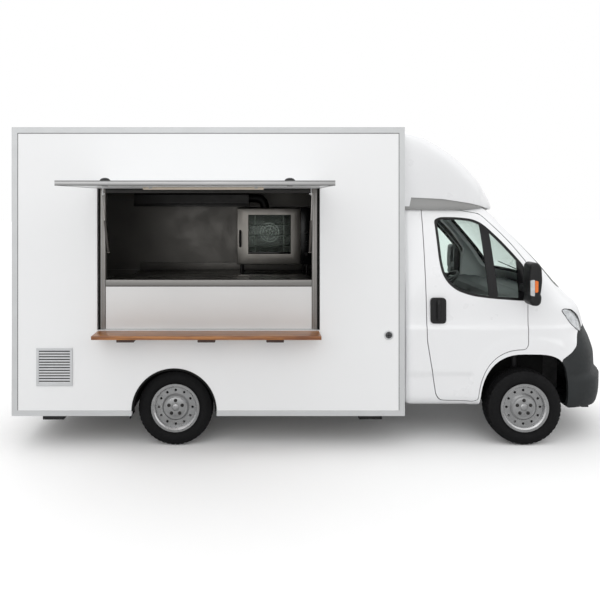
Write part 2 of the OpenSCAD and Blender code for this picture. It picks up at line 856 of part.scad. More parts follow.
module serving_frame() {
    half = opening_w / 2 - post_gap;
    head = 40;
    pin_len = strut_eye_w + 10;
    color("gray") union() {
        for (side = SIDES) {
            block([box_mid + (side > 0 ? half - post_w : -half), frame_out, opening_low],
                [box_mid + (side > 0 ? half : -half + post_w), frame_in, opening_high]);
            bar_x(strut_pin_r, lower_pin_y, lower_pin_z,
                box_mid + (side > 0 ? strut_x - strut_eye_w / 2 : -half + post_w - eps),
                box_mid + (side > 0 ? half - post_w + eps : -strut_x + strut_eye_w / 2));
        }
        block([box_mid - half, frame_out, opening_high - head], [box_mid + half, frame_in, opening_high]);
        block([box_mid - half, frame_out, opening_low], [box_mid + half, frame_in, opening_low + 4]);
    }
}

counter_half = opening_w / 2 - post_gap - post_w - 2;

module serving_counter() {
    color("gainsboro") difference() {
        counter_carcass();
        rear_arch_space(rear_arch_r + arch_skin + 1, arch_inner - arch_skin - 1);
    }
}

module counter_carcass() {
    union() {
        block([box_mid - counter_half, frame_out + 2, counter_z - lip_t],
            [box_mid + counter_half, frame_out + counter_d, counter_z]);
        block([box_mid - counter_half, frame_out + 4, opening_low + 4],
            [box_mid + counter_half, frame_out + 4 + sheet_t, counter_z - lip_t + eps]);
        for (x = [-counter_half, -sheet_t / 2, counter_half - sheet_t])
            block([box_mid + x, frame_in + 6, floor_top], [box_mid + x + sheet_t, frame_out + counter_d, counter_z - lip_t + eps]);
        block([box_mid - counter_half, frame_out + counter_d - sheet_t, floor_top],
            [box_mid + counter_half, frame_out + counter_d, counter_z - lip_t + eps]);
    }
}

shelf_t = 31;
shelf_half = opening_w / 2 - 8;

module shelf() {
    color("burlywood") block([box_mid - shelf_half, -box_half - shelf_d, opening_low - 2 - shelf_t],
        [box_mid + shelf_half, -box_half, opening_low - 2]);
}

module shelf_brackets() {
    bracket_w = 144;
    drop = 30;
    arm = shelf_d - 60;
    under = opening_low - 2 - shelf_t;
    color("saddlebrown") for (x = [-660, 0, 560])
        translate([box_mid + x, -box_half, under]) side_bracket(bracket_w, arm, drop);
}

module side_bracket(w, arm, drop) {
    t = 12;
    translate([-w / 2, 0, 0]) rotate([90, 0, 90]) linear_extrude(w)
        polygon([[0, 0], [-arm, 0], [-arm, -t], [-t, -drop], [0, -drop]]);
}

// --- Kitchen --------------------------------------------------------------

unit_top = 1300;
unit_front = box_half - wall - 820;

module kitchen_unit() {
    x0 = box_mid - 950;
    x1 = box_front - wall - 2;
    y1 = box_half - wall;
    top_t = 40;
    color("silver") difference() {
        block([x0, unit_front, floor_top], [x1, y1, unit_top]);
        block([x0 + sheet_t, unit_front + sheet_t, floor_top - 1], [x1 - sheet_t, y1 - sheet_t, unit_top - top_t]);
        rear_arch_space(rear_arch_r + arch_skin + 1, arch_inner - arch_skin - 1);
    }
}

oven_x0 = box_mid + 197;
oven_w = 774;
oven_y0 = 220;
oven_d = 700;
oven_low = 1439;
oven_h = 586;

module oven() {
    leg = 36;
    duct_r = 45;
    duct_x = oven_x0 + 293;
    duct_y = oven_y0 + 350;
    rise = 103;
    bend_z = oven_low + oven_h + rise;
    color("dimgray") union() {
        block([oven_x0, oven_y0, oven_low], [oven_x0 + oven_w, oven_y0 + oven_d, oven_low + oven_h]);
        for (x = [30, oven_w - 30 - leg], y = [30, oven_d - 30 - leg])
            block([oven_x0 + x, oven_y0 + y, unit_top], [oven_x0 + x + leg, oven_y0 + y + leg, oven_low + 1]);
        translate([duct_x, duct_y, oven_low + oven_h - 1]) cylinder(h = rise + 1, r = duct_r);
        translate([duct_x, duct_y, bend_z]) sphere(duct_r);
        bar_x(duct_r, duct_y, bend_z, hood_x1, duct_x);
    }
}

hood_x0 = box_mid - 900;
hood_x1 = box_mid + 317;

module extraction_hood() {
    low = 2043;
    hood_w = hood_x1 - hood_x0;
    y1 = box_half - wall;
    color("dimgray") translate([hood_x0, 0, 0]) difference() {
        face_prism([[y1 - 640, low], [y1, low], [y1, box_top - wall], [y1 - 300, box_top - wall], [y1 - 640, low + 120]],
            0, hood_w);
        face_prism([[y1 - 620, low - 1], [y1 - 20, low - 1], [y1 - 20, box_top - wall - 20],
            [y1 - 290, box_top - wall - 20], [y1 - 620, low + 110]], 20, hood_w - 20);
    }
}

// --- The whole truck ------------------------------------------------------

module placed() {
    translate([0, centreline, 0]) children();
}

placed() chassis_frame();
placed() engine_block();
placed() exhaust();
placed() fuel_tank();
placed() battery_box();
placed() corner_steadies();
placed() rear_axle();
placed() front_suspension();
placed() knuckle(RIGHT);  // right_knuckle
placed() knuckle(LEFT);  // left_knuckle
placed() tyre(front_x, RIGHT);  // front_right_tyre
placed() tyre(front_x, LEFT);  // front_left_tyre
placed() tyre(rear_x, RIGHT);  // rear_right_tyre
placed() tyre(rear_x, LEFT);  // rear_left_tyre
placed() rim(front_x, RIGHT);  // front_right_rim
placed() rim(front_x, LEFT);  // front_left_rim
placed() rim(rear_x, RIGHT);  // rear_right_rim
placed() rim(rear_x, LEFT);  // rear_left_rim
placed() cab_body();
placed() bonnet();
placed() front_bumper();
placed() headlights();
placed() windscreen();
placed() cab_door(RIGHT);  // right_cab_door
placed() cab_door(LEFT);  // left_cab_door
placed() door_glass(RIGHT);  // right_door_glass
placed() door_glass(LEFT);  // left_door_glass
placed() mirror_housing(RIGHT);  // right_mirror
placed() mirror_housing(LEFT);  // left_mirror
placed() dashboard();
placed() steering_wheel();
placed() seat_bases();
placed() seats();
placed() roof_fairing();
placed() box_floor();
placed() box_roof();
placed() box_right_wall();
placed() box_left_wall();
placed() box_front_wall();
placed() box_rear_wall();
placed() rear_door();
placed() rear_lamps();
placed() box_trim();
placed() serving_hatch();
placed() strut_cylinders();
placed() strut_rods();
placed() serving_frame();
placed() serving_counter();
placed() shelf();
placed() shelf_brackets();
placed() kitchen_unit();
placed() oven();
placed() extraction_hood();
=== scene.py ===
"""Looks of the food truck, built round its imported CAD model.

Lengths are in millimetres with y measured from the truck's centreline, until place() turns them
into metres in the row frame. Outlines of the cab are [x from the front axle, z]."""

import math

import bmesh
import bpy
from mathutils import Matrix, Vector


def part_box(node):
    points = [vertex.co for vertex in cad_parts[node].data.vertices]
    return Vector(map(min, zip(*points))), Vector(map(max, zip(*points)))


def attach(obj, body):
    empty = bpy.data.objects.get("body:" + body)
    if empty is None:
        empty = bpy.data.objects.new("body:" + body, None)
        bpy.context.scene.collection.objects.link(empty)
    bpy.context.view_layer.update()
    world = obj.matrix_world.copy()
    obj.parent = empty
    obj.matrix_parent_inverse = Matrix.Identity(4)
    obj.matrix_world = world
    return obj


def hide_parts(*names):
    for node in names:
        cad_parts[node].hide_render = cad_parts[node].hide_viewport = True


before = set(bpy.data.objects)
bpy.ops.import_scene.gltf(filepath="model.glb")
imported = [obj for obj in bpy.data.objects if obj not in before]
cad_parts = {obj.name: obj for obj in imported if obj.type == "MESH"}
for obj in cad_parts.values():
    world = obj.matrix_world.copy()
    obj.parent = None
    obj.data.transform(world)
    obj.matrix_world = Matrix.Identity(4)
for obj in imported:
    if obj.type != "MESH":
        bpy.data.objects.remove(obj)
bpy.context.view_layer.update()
MM = 0.001
RIGHT = -1
LEFT = 1
SIDES = (RIGHT, LEFT)
SIDE_NAME = {RIGHT: "right", LEFT: "left"}


# --- Sizes taken from the frame --------------------------------------------


def node_box(node):
    """Lowest and highest corner of a CAD node, in mm."""
    low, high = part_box(node)
    return low / MM, high / MM


roof_low, roof_high = node_box("box_roof")
CENTRE_Y = (roof_low.y + roof_high.y) / 2


def local_box(node):
    """The same with y from the centreline."""
    low, high = node_box(node)
    shift = Vector((0, CENTRE_Y, 0))
    return low - shift, high - shift


front_low, front_high = local_box("front_right_tyre")
rear_low, rear_high = local_box("rear_right_tyre")
FRONT_X = (front_low.x + front_high.x) / 2
REAR_X = (rear_low.x + rear_high.x) / 2
TYRE_R = (front_high.x - front_low.x) / 2
TYRE_HALF = (front_high.y - front_low.y) / 2
HALF_TRACK = -(front_high.y + front_low.y) / 2
BOX_BACK = roof_low.x
BOX_FRONT = roof_high.x
BOX_TOP = roof_high.z
BOX_HALF = local_box("box_left_wall")[1].y
WALL = BOX_HALF - local_box("box_roof")[1].y
BOX_BOTTOM = local_box("box_left_wall")[0].z
FLOOR_TOP = local_box("box_rear_wall")[0].z
HATCH_LOW, HATCH_HIGH = local_box("serving_hatch")
CAB_LOW, CAB_HIGH = local_box("cab_body")
CAB_HALF = (CAB_HIGH.y - CAB_LOW.y) / 2
CAB_BACK = CAB_LOW.x - FRONT_X
NOSE = local_box("front_bumper")[1].x - FRONT_X
FRAME_LOW, FRAME_HIGH = local_box("serving_frame")
COUNTER_LOW, COUNTER_HIGH = local_box("serving_counter")
SHELF_LOW, SHELF_HIGH = local_box("shelf")
BOX_MID = (BOX_BACK + BOX_FRONT) / 2
ARCH_GAP = 38


# --- Mesh helpers ----------------------------------------------------------


def place(point):
    """A point in mm from the centreline, moved into the row frame in metres."""
    return Vector((point[0], point[1] + CENTRE_Y, point[2])) * MM


def new_object(name, points, faces):
    """A mesh object from points in mm, its faces turned outwards."""
    mesh = bpy.data.meshes.new(name)
    mesh.from_pydata([place(p) for p in points], [], faces)
    form = bmesh.new()
    form.from_mesh(mesh)
    bmesh.ops.recalc_face_normals(form, faces=form.faces)
    form.to_mesh(mesh)
    form.free()
    obj = bpy.data.objects.new(name, mesh)
    bpy.context.scene.collection.objects.link(obj)
    return obj


def finish_piece(obj, material, body="truck", sharp=30, stands_for=None):
    """Smooth shading with sharp edges, a material, and the body that it rides on."""
    mesh = obj.data
    mesh.materials.clear()
    mesh.materials.append(material)
    for polygon in mesh.polygons:
        polygon.use_smooth = True
        polygon.material_index = 0
    mesh.set_sharp_from_angle(angle=math.radians(sharp))
    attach(obj, body)
    if stands_for:
        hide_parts(stands_for)
    return obj


def freeze(obj):
    """Applies the modifiers."""
    graph = bpy.context.evaluated_depsgraph_get()
    mesh = bpy.data.meshes.new_from_object(obj.evaluated_get(graph))
    obj.modifiers.clear()
    old = obj.data
    obj.data = mesh
    bpy.data.meshes.remove(old)
    return obj


def discard(obj):
    mesh = obj.data
    bpy.data.objects.remove(obj)
    bpy.data.meshes.remove(mesh)


def boolean(obj, tool, operation):
    """Cuts or intersects obj with tool, both closed, and discards the tool."""
    modifier = obj.modifiers.new("cut", "BOOLEAN")
    modifier.operation = operation
    modifier.solver = "MANIFOLD"
    modifier.object = tool
    freeze(obj)
    discard(tool)
    return obj


def cut_by(obj, tool):
    return boolean(obj, tool, "DIFFERENCE")


def within(obj, tool):
    return boolean(obj, tool, "INTERSECT")


def copy_of(obj, name):
    twin = bpy.data.objects.new(name, obj.data.copy())
    bpy.context.scene.collection.objects.link(twin)
    return twin


def prism(name, near, far):
    """A closed form between two like outlines of points."""
    n = len(near)
    faces = [list(range(n)), list(range(n, 2 * n))]
    faces += [(i, (i + 1) % n, n + (i + 1) % n, n + i) for i in range(n)]
    return new_object(name, near + far, faces)


def prism_y(outline, y0, y1, name="tool"):
    """An outline of [x, z] points drawn out along Y, with x from the front axle."""
    near, far = [[(FRONT_X + x, y, z) for x, z in outline] for y in (y0, y1)]
    return prism(name, near, far)


def prism_x(outline, x0, x1, name="tool"):
    """An outline of [y, z] points drawn out along X."""
    near, far = [[(x, y, z) for y, z in outline] for x in (x0, x1)]
    return prism(name, near, far)


def slab(low, high, name="tool"):
    """A plain box between two corners."""
    points = [(x, y, z) for x in (low[0], high[0]) for y in (low[1], high[1]) for z in (low[2], high[2])]
    faces = [(0, 1, 3, 2), (4, 6, 7, 5), (0, 4, 5, 1), (2, 3, 7, 6), (0, 2, 6, 4), (1, 5, 7, 3)]
    return new_object(name, points, faces)


def rounded_slab(name, low, high, radius, segments=3):
    """A bar or plate whose edges are rounded."""
    return soften(slab(low, high, name), radius, segments)


def bar(low, high, radius, segments=3):
    """A rounded slab that is joined with others."""
    return rounded_slab("part", low, high, radius, segments)


def plate(name, low, high, radius, material, segments=3, body="truck", stands_for=None):
    """A rounded slab as a finished piece."""
    obj = rounded_slab(name, low, high, radius, segments)
    return finish_piece(obj, material, body, stands_for=stands_for)


def group(name, parts, material, body="truck", stands_for=None):
    """Several forms joined into one finished piece."""
    return finish_piece(join(name, *parts), material, body, stands_for=stands_for)


def outward(side, a, b):
    """Lower and upper y of a stretch between two distances from the centreline."""
    return sorted((side * a, side * b))


def soften(obj, radius, segments=3, angle=30):
    """Rounds the edges that turn by more than an angle."""
    modifier = obj.modifiers.new("round", "BEVEL")
    modifier.width = radius * MM
    modifier.segments = segments
    modifier.limit_method = "ANGLE"
    modifier.angle_limit = math.radians(angle)
    modifier.use_clamp_overlap = True
    return freeze(obj)


def join(name, *objects):
    """One mesh object from several."""
    form = bmesh.new()
    for obj in objects:
        form.from_mesh(obj.data)
    mesh = bpy.data.meshes.new(name)
    form.to_mesh(mesh)
    form.free()
    for obj in objects:
        discard(obj)
    joined = bpy.data.objects.new(name, mesh)
    bpy.context.scene.collection.objects.link(joined)
    return joined


def turned(name, section, centre, axis, turns=64):
    """A section of [radius, distance along the axis] turned round the axis, closed at both ends."""
    axis = Vector(axis).normalized()
    side = axis.orthogonal().normalized()
    other = axis.cross(side)
    points = []
    rings = []
    for radius, along in section:
        start = len(points)
        if radius < 0.01:
            points.append(Vector(centre) + axis * along)
            rings.append([start] * turns)
            continue
        for i in range(turns):
            a = 2 * math.pi * i / turns
            points.append(
                Vector(centre) + axis * along + (side * math.cos(a) + other * math.sin(a)) * radius,
            )
        rings.append(list(range(start, start + turns)))
    faces = []
    count = len(rings)
    closed = section[0][0] > 0.01
    pairs = [(k, (k + 1) % count) for k in range(count if closed else count - 1)]
    for k, m in pairs:
        for i in range(turns):
            j = (i + 1) % turns
            corners = []
            for v in (rings[k][i], rings[k][j], rings[m][j], rings[m][i]):
                if v not in corners:
                    corners.append(v)
            if len(corners) > 2:
                faces.append(corners)
    return new_object(name, points, faces)


def tube(name, path, radius, sides=10):
    """A round bar or pipe along a path of points."""
    path = [Vector(p) for p in path]
    points = []
    previous = None
    for i, p in enumerate(path):
        ahead = path[min(i + 1, len(path) - 1)] - path[max(i - 1, 0)]
        ahead.normalize()
        if previous is None:
            previous = ahead.orthogonal().normalized()
        side = (previous - ahead * previous.dot(ahead)).normalized()
        previous = side
        up = ahead.cross(side)
        for k in range(sides):
            a = 2 * math.pi * k / sides
            points.append(p + (side * math.cos(a) + up * math.sin(a)) * radius)
    faces = [list(range(sides)), list(range(len(points) - sides, len(points)))]
    for i in range(len(path) - 1):
        for k in range(sides):
            m = (k + 1) % sides
            faces.append((i * sides + k, i * sides + m, (i + 1) * sides + m, (i + 1) * sides + k))
    return new_object(name, points, faces)


# --- Outlines --------------------------------------------------------------


def filleted(outline, reach, steps=5):
    """A closed outline with each corner rounded over a distance along its edges."""
    result = []
    n = len(outline)
    for i in range(n):
        p = Vector(outline[i])
        before = Vector(outline[i - 1]) - p
        after = Vector(outline[(i + 1) % n]) - p
        r = min(reach, before.length * 0.45, after.length * 0.45)
        a = p + before.normalized() * r
        b = p + after.normalized() * r
        for k in range(steps + 1):
            t = k / steps
            q = a * (1 - t) ** 2 + p * 2 * t * (1 - t) + b * t**2
            result.append((q.x, q.y))
    return result


def grown(outline, g):
    """An outline moved outwards by g, whichever way round it runs."""
    n = len(outline)
    area = sum(outline[i - 1][0] * outline[i][1] - outline[i][0] * outline[i - 1][1] for i in range(n))
    sign = 1 if area > 0 else -1
    result = []
    for i in range(n):
        p = Vector(outline[i])
        u = (p - Vector(outline[i - 1])).normalized()
        v = (Vector(outline[(i + 1) % n]) - p).normalized()
        nu = Vector((u.y, -u.x))
        nv = Vector((v.y, -v.x))
        step = (nu + nv) / max(1 + nu.dot(nv), 0.3)
        q = p + step * g * sign
        result.append((q.x, q.y))
    return result


def lookup(table, at):
    """Smooth curve through a table of [position, value] rows."""
    if at <= table[0][0]:
        return table[0][1]
    if at >= table[-1][0]:
        return table[-1][1]
    k = 0
    while table[k + 1][0] < at:
        k += 1
    (x0, y0), (x1, y1) = table[k], table[k + 1]

    def slope(i):
        if i == 0 or i == len(table) - 1:
            return None
        a = (table[i][1] - table[i - 1][1]) / (table[i][0] - table[i - 1][0])
        b = (table[i + 1][1] - table[i][1]) / (table[i + 1][0] - table[i][0])
        return 0 if a * b <= 0 else 2 * a * b / (a + b)

    mean = (y1 - y0) / (x1 - x0)
    m0 = slope(k)
    m1 = slope(k + 1)
    m0 = mean if m0 is None else m0
    m1 = mean if m1 is None else m1
    h = x1 - x0
    t = (at - x0) / h
    near = y0 * (1 + 2 * t) * (1 - t) ** 2 + m0 * h * t * (1 - t) ** 2
    return near + y1 * t**2 * (3 - 2 * t) + m1 * h * t**2 * (t - 1)


def ray_to(outline, centre, angle):
    """Distance from centre to the outline at an angle, and how squarely the ray meets it."""
    direction = Vector((math.cos(angle), math.sin(angle)))
    best = (1e9, 1)
    n = len(outline)
    for i in range(n):
        a = Vector(outline[i - 1]) - centre
        b = Vector(outline[i]) - centre
        edge = b - a
        cross = direction.x * edge.y - direction.y * edge.x
        if abs(cross) < 1e-9:
            continue
        t = (a.x * edge.y - a.y * edge.x) / cross
        s = (a.x * direction.y - a.y * direction.x) / cross
        if t > 0 and -1e-9 <= s <= 1 + 1e-9 and t < best[0]:
            best = (t, abs(cross) / edge.length)
    return best


def rounded_form(name, outline, centre, half, power, crown, grow, rays=300):
    """A closed form round a spine along Y: outline from the side, half(x, z) its half-width there.

    power(angle) is the superellipse exponent that rounds the edge from the outline to the sides and
    crown(angle) how far the outline draws in at the sides."""
    centre = Vector(centre)
    caps = 14
    sides = 40
    points = []
    rings = []
    for i in range(rays):
        angle = 2 * math.pi * i / rays
        reach, square = ray_to(outline, centre, angle)
        reach += grow / max(square, 0.55)
        n = power(angle)
        turn_at = 0.5 ** (1 / n)
        profile = [((1 - k**n) ** (1 / n), k) for k in [turn_at * j / caps for j in range(caps)]]
        profile += [(m, (1 - m**n) ** (1 / n)) for m in [turn_at * (1 - j / sides) for j in range(sides)]]
        strip = []
        for side in (RIGHT, LEFT):
            column = []
            for rho, lateral in profile:
                r = reach * rho * (1 - crown(angle) * lateral**2)
                x = centre.x + r * math.cos(angle)
                z = centre.y + r * math.sin(angle)
                column.append((FRONT_X + x, side * lateral * (half(x, z) + grow), z))
            strip.append(column)
        line = list(reversed(strip[0])) + strip[1][1:]
        rings.append(list(range(len(points), len(points) + len(line))))
        points += line
    poles = []
    for side in (RIGHT, LEFT):
        poles.append(len(points))
        points.append((FRONT_X + centre.x, side * (half(*centre) + grow), centre.y))
    faces = []
    for i in range(rays):
        a = rings[i - 1]
        b = rings[i]
        faces.append((poles[0], a[0], b[0]))
        faces.append((poles[1], b[-1], a[-1]))
        faces += [(a[j], a[j + 1], b[j + 1], b[j]) for j in range(len(a) - 1)]
    return new_object(name, points, faces)


# --- Materials -------------------------------------------------------------


def shader(name):
    material = bpy.data.materials.new(name)
    material.use_nodes = True
    nodes = material.node_tree.nodes
    return material, nodes, material.node_tree.links, nodes["Principled BSDF"]


def settings(node, values):
    """Constants on a node's own sockets."""
    for socket, value in values.items():
        node.inputs[socket].default_value = value
    return node


def coordinates(nodes, links, stretch=(1, 1, 1)):
    source = nodes.new("ShaderNodeTexCoord")
    mapping = settings(nodes.new("ShaderNodeMapping"), {"Scale": stretch})
    links.new(source.outputs["Object"], mapping.inputs["Vector"])
    return mapping.outputs["Vector"]


def noise(nodes, links, vector, scale, detail=4):
    texture = settings(nodes.new("ShaderNodeTexNoise"), {"Scale": scale, "Detail": detail})
    links.new(vector, texture.inputs["Vector"])
    return texture.outputs["Fac"]


def ramp(nodes, links, factor, low, high, start=0.35, end=0.65):
    node = nodes.new("ShaderNodeValToRGB")
    for stop, position, colour in zip(node.color_ramp.elements, (start, end), (low, high)):
        stop.position = position
        stop.color = (*colour, 1)
    links.new(factor, node.inputs["Fac"])
    return node.outputs["Color"]


def spread_value(nodes, links, factor, low, high):
    node = nodes.new("ShaderNodeMapRange")
    settings(node, {"From Min": 0.3, "From Max": 0.7, "To Min": low, "To Max": high})
    links.new(factor, node.inputs["Value"])
    return node.outputs["Result"]


def bump(nodes, links, principled, height, strength, distance):
    node = settings(nodes.new("ShaderNodeBump"), {"Strength": strength, "Distance": distance})
    links.new(height, node.inputs["Height"])
    links.new(node.outputs["Normal"], principled.inputs["Normal"])


def surface(name, colour, vary=0.03, rough=0.4, rough_vary=0.06, metal=0.0, coat=0.0, scale=6.0,
            grain=None, stretch=(1, 1, 1), specular=0.5):
    """Colour and roughness that drift a little over the surface, and a fine grain as bump."""
    material, nodes, links, principled = shader(name)
    vector = coordinates(nodes, links, stretch)
    drift = noise(nodes, links, vector, scale)
    dark = [c * (1 - vary) for c in colour]
    light = [min(c * (1 + vary), 1) for c in colour]
    links.new(ramp(nodes, links, drift, dark, light), principled.inputs["Base Color"])
    fine = noise(nodes, links, vector, scale * 4)
    spread = spread_value(nodes, links, fine, rough - rough_vary, rough + rough_vary)
    links.new(spread, principled.inputs["Roughness"])
    settings(principled, {
        "Metallic": metal, "Coat Weight": coat, "Coat Roughness": 0.05, "Specular IOR Level": specular,
    })
    if grain:
        grain_scale, strength, distance = grain
        bump(nodes, links, principled, noise(nodes, links, vector, grain_scale, 6), strength, distance)
    return material


def glass_material(name, colour, rough=0.02):
    """Tinted sheet glass with a faint film of dust."""
    material, nodes, links, principled = shader(name)
    film = noise(nodes, links, coordinates(nodes, links), 5)
    links.new(spread_value(nodes, links, film, rough * 0.5, rough * 1.6), principled.inputs["Roughness"])
    tint = [c * 0.97 for c in colour]
    links.new(ramp(nodes, links, film, tint, colour), principled.inputs["Base Color"])
    settings(principled, {"Transmission Weight": 1.0, "IOR": 1.15, "Alpha": 1.0})
    return material


def wood_material(name, light, dark, finish=0.35):
    """Boards glued side by side, with grain along X."""
    material, nodes, links, principled = shader(name)
    rings = noise(nodes, links, coordinates(nodes, links, (0.6, 9, 9)), 5, 8)
    fibres = noise(nodes, links, coordinates(nodes, links, (2, 60, 60)), 6, 4)
    mix = nodes.new("ShaderNodeMath")
    mix.operation = "MULTIPLY_ADD"
    mix.inputs[1].default_value = 0.35
    links.new(fibres, mix.inputs[0])
    links.new(rings, mix.inputs[2])
    links.new(ramp(nodes, links, mix.outputs[0], dark, light, 0.52, 0.82), principled.inputs["Base Color"])
    links.new(
        spread_value(nodes, links, fibres, finish - 0.06, finish + 0.1), principled.inputs["Roughness"],
    )
    settings(principled, {"Coat Weight": 0.25, "Coat Roughness": 0.2})
    bump(nodes, links, principled, fibres, 0.25, 0.0006)
    return material


def rubber_material(name, colour, grain):
    return surface(name, colour, 0.12, 0.75, 0.1, scale=14, grain=grain, specular=0.14)


def cloth_material(name, colour):
    """Woven seat cloth."""
    material, nodes, links, principled = shader(name)
    vector = coordinates(nodes, links)
    weave = settings(nodes.new("ShaderNodeTexVoronoi"), {"Scale": 480})
    links.new(vector, weave.inputs["Vector"])
    drift = noise(nodes, links, vector, 9)
    dark = [c * 0.75 for c in colour]
    links.new(ramp(nodes, links, drift, dark, colour), principled.inputs["Base Color"])
    links.new(spread_value(nodes, links, drift, 0.82, 0.95), principled.inputs["Roughness"])
    settings(principled, {"Sheen Weight": 0.3})
    bump(nodes, links, principled, weave.outputs["Distance"], 0.4, 0.0006)
    return material


def glow_material(name, colour, strength):
    """A diffuser that is lightly lit."""
    material, nodes, links, principled = shader(name)
    drift = noise(nodes, links, coordinates(nodes, links), 20)
    dark = [c * 0.94 for c in colour]
    links.new(ramp(nodes, links, drift, dark, colour), principled.inputs["Base Color"])
    settings(principled, {"Roughness": 0.45, "Emission Color": (*colour, 1), "Emission Strength": strength})
    return material


PANEL = surface("white_panel_finish", (0.82, 0.825, 0.83), 0.004, 0.34, 0.03, coat=0.1, scale=1.2)
PAINT = surface("white_paint_finish", (0.80, 0.805, 0.815), 0.004, 0.3, 0.03, coat=0.5, scale=1.2)
# Painted shade: grey for the down-facing band under the fairing's lip, darker because it is in shade
SHADED_UNDERSIDE = surface("fairing_underside_painted_shade", (0.34, 0.34, 0.335), 0.03, 0.5, 0.05, scale=6)
TRIM = surface(
    "edge_trim_finish", (0.56, 0.57, 0.575), 0.02, 0.42, 0.06, metal=0.2, scale=8,
    grain=(160, 0.05, 0.0004),
)
ALUMINIUM = surface("aluminium_finish", (0.40, 0.40, 0.40), 0.05, 0.36, 0.08, metal=0.8, scale=10,
                    grain=(300, 0.06, 0.0003), stretch=(0.15, 1, 1))
EDGE_DARK = surface("hatch_flange_finish", (0.12, 0.12, 0.118), 0.08, 0.4, 0.06, metal=0.4, scale=10)
BUMPER = surface(
    "bumper_finish", (0.02, 0.0225, 0.0235), 0.06, 0.58, 0.06, scale=8, grain=(700, 0.25, 0.0006),
    specular=0.25,
)
BLACK = surface(
    "black_plastic_finish", (0.008, 0.008, 0.0085), 0.08, 0.45, 0.08, scale=10, grain=(500, 0.15, 0.0004),
    specular=0.3,
)
GLOSS_BLACK = surface("gloss_black_finish", (0.006, 0.006, 0.0065), 0.05, 0.2, 0.03, scale=8, specular=0.3)
SEAL = rubber_material("seal_rubber", (0.010, 0.010, 0.010), (260, 0.15, 0.0003))
CABIN = surface(
    "cabin_plastic_finish", (0.06, 0.062, 0.065), 0.06, 0.6, 0.06, scale=12, grain=(600, 0.3, 0.0005),
)
CHASSIS = surface(
    "chassis_paint_finish", (0.014, 0.014, 0.015), 0.15, 0.5, 0.1, scale=12, grain=(90, 0.15, 0.0008),
    specular=0.3,
)
GALVANISED = surface("galvanised_finish", (0.30, 0.31, 0.315), 0.15, 0.45, 0.12, metal=0.85, scale=30)
CASTING = surface(
    "casting_finish", (0.11, 0.11, 0.112), 0.2, 0.7, 0.1, metal=0.5, scale=20, grain=(240, 0.4, 0.001),
)
RUBBER = rubber_material("tyre_rubber", (0.0065, 0.0065, 0.007), (170, 0.25, 0.0008))
# Painted shade: the rim metal is given a darker base colour on the disc for the shade in its dish
RIM_PAINTED_SHADE = surface(
    "rim_painted_shade", (0.33, 0.333, 0.335), 0.08, 0.32, 0.06, metal=0.85, scale=9, grain=(380, 0.08, 0.0003),
)
# Painted highlight: the same rim metal is given a lighter base colour on the lip ring for the light it
# catches
RIM_LIP_PAINTED_HIGHLIGHT = surface("rim_lip_painted_highlight", (0.50, 0.50, 0.505), 0.05, 0.28, 0.05, metal=0.85, scale=9)
STEEL = surface("stainless_finish", (0.34, 0.335, 0.32), 0.08, 0.34, 0.09, metal=0.95, scale=9,
                grain=(240, 0.12, 0.0002), stretch=(0.06, 1, 1))
OVEN_STEEL = surface("oven_steel_finish", (0.30, 0.285, 0.262), 0.08, 0.36, 0.08, metal=0.85, scale=7,
                     grain=(260, 0.1, 0.0002), stretch=(1, 1, 0.08))
WORKTOP = surface("worktop_finish", (0.16, 0.155, 0.145), 0.12, 0.3, 0.1, metal=0.9, scale=5,
                  grain=(240, 0.12, 0.0002), stretch=(0.06, 1, 1))
COUNTER_EDGE = surface("counter_edge_finish", (0.23, 0.225, 0.215), 0.05, 0.34, 0.06, metal=0.9, scale=8,
                       grain=(240, 0.1, 0.0002), stretch=(0.06, 1, 1))
INNER_STEEL = surface("lining_finish", (0.155, 0.148, 0.136), 0.14, 0.4, 0.08, metal=0.55, scale=1.4)
POST = surface("post_finish", (0.24, 0.228, 0.215), 0.05, 0.42, 0.06, metal=0.7, scale=8)
DARK_STEEL = surface("dark_steel_finish", (0.022, 0.021, 0.020), 0.15, 0.4, 0.08, metal=0.4, scale=9)
WOOD = wood_material("oiled_wood", (0.40, 0.165, 0.045), (0.17, 0.052, 0.012))
FLOOR_BOARD = wood_material("sealed_board", (0.11, 0.09, 0.07), (0.06, 0.048, 0.036), 0.6)
BRACKET = surface("bracket_finish", (0.035, 0.014, 0.009), 0.2, 0.5, 0.08, scale=12)
CHROME = surface("bright_rod_finish", (0.5, 0.48, 0.46), 0.02, 0.2, 0.04, metal=1.0, scale=8)
STRUT = surface("strut_tube_finish", (0.10, 0.092, 0.085), 0.05, 0.4, 0.05, metal=0.5, scale=8)
GLASS = glass_material("tinted_glass", (0.78, 0.85, 0.82))
CLEAR = glass_material("clear_lens", (0.97, 0.975, 0.98), 0.03)
REFLECTOR = surface("reflector_finish", (0.55, 0.56, 0.57), 0.12, 0.2, 0.06, metal=0.6, scale=26)
CAVITY = surface("oven_cavity_finish", (0.10, 0.098, 0.09), 0.2, 0.35, 0.08, metal=0.4, scale=9)
AMBER = surface("amber_lens", (0.75, 0.16, 0.015), 0.05, 0.22, 0.04, coat=0.5, scale=30)
RED = surface("red_lens", (0.42, 0.012, 0.012), 0.05, 0.22, 0.04, coat=0.5, scale=30)
CLEAR_LENS = surface("white_lens", (0.52, 0.53, 0.54), 0.1, 0.22, 0.04, coat=0.5, scale=60)
PLATE = surface("plate_finish", (0.62, 0.62, 0.6), 0.02, 0.4, 0.05, scale=12)
CLOTH = cloth_material("seat_cloth_weave", (0.045, 0.048, 0.052))
DIFFUSER = glow_material("lamp_diffuser", (0.56, 0.49, 0.40), 0.08)
COUNTER_PANEL = surface("counter_panel_finish", (0.70, 0.695, 0.69), 0.01, 0.35, 0.05, scale=2)
GRILLE = surface("grille_finish", (0.55, 0.56, 0.57), 0.03, 0.4, 0.05, scale=20)


# --- Camera, lights and floor ----------------------------------------------


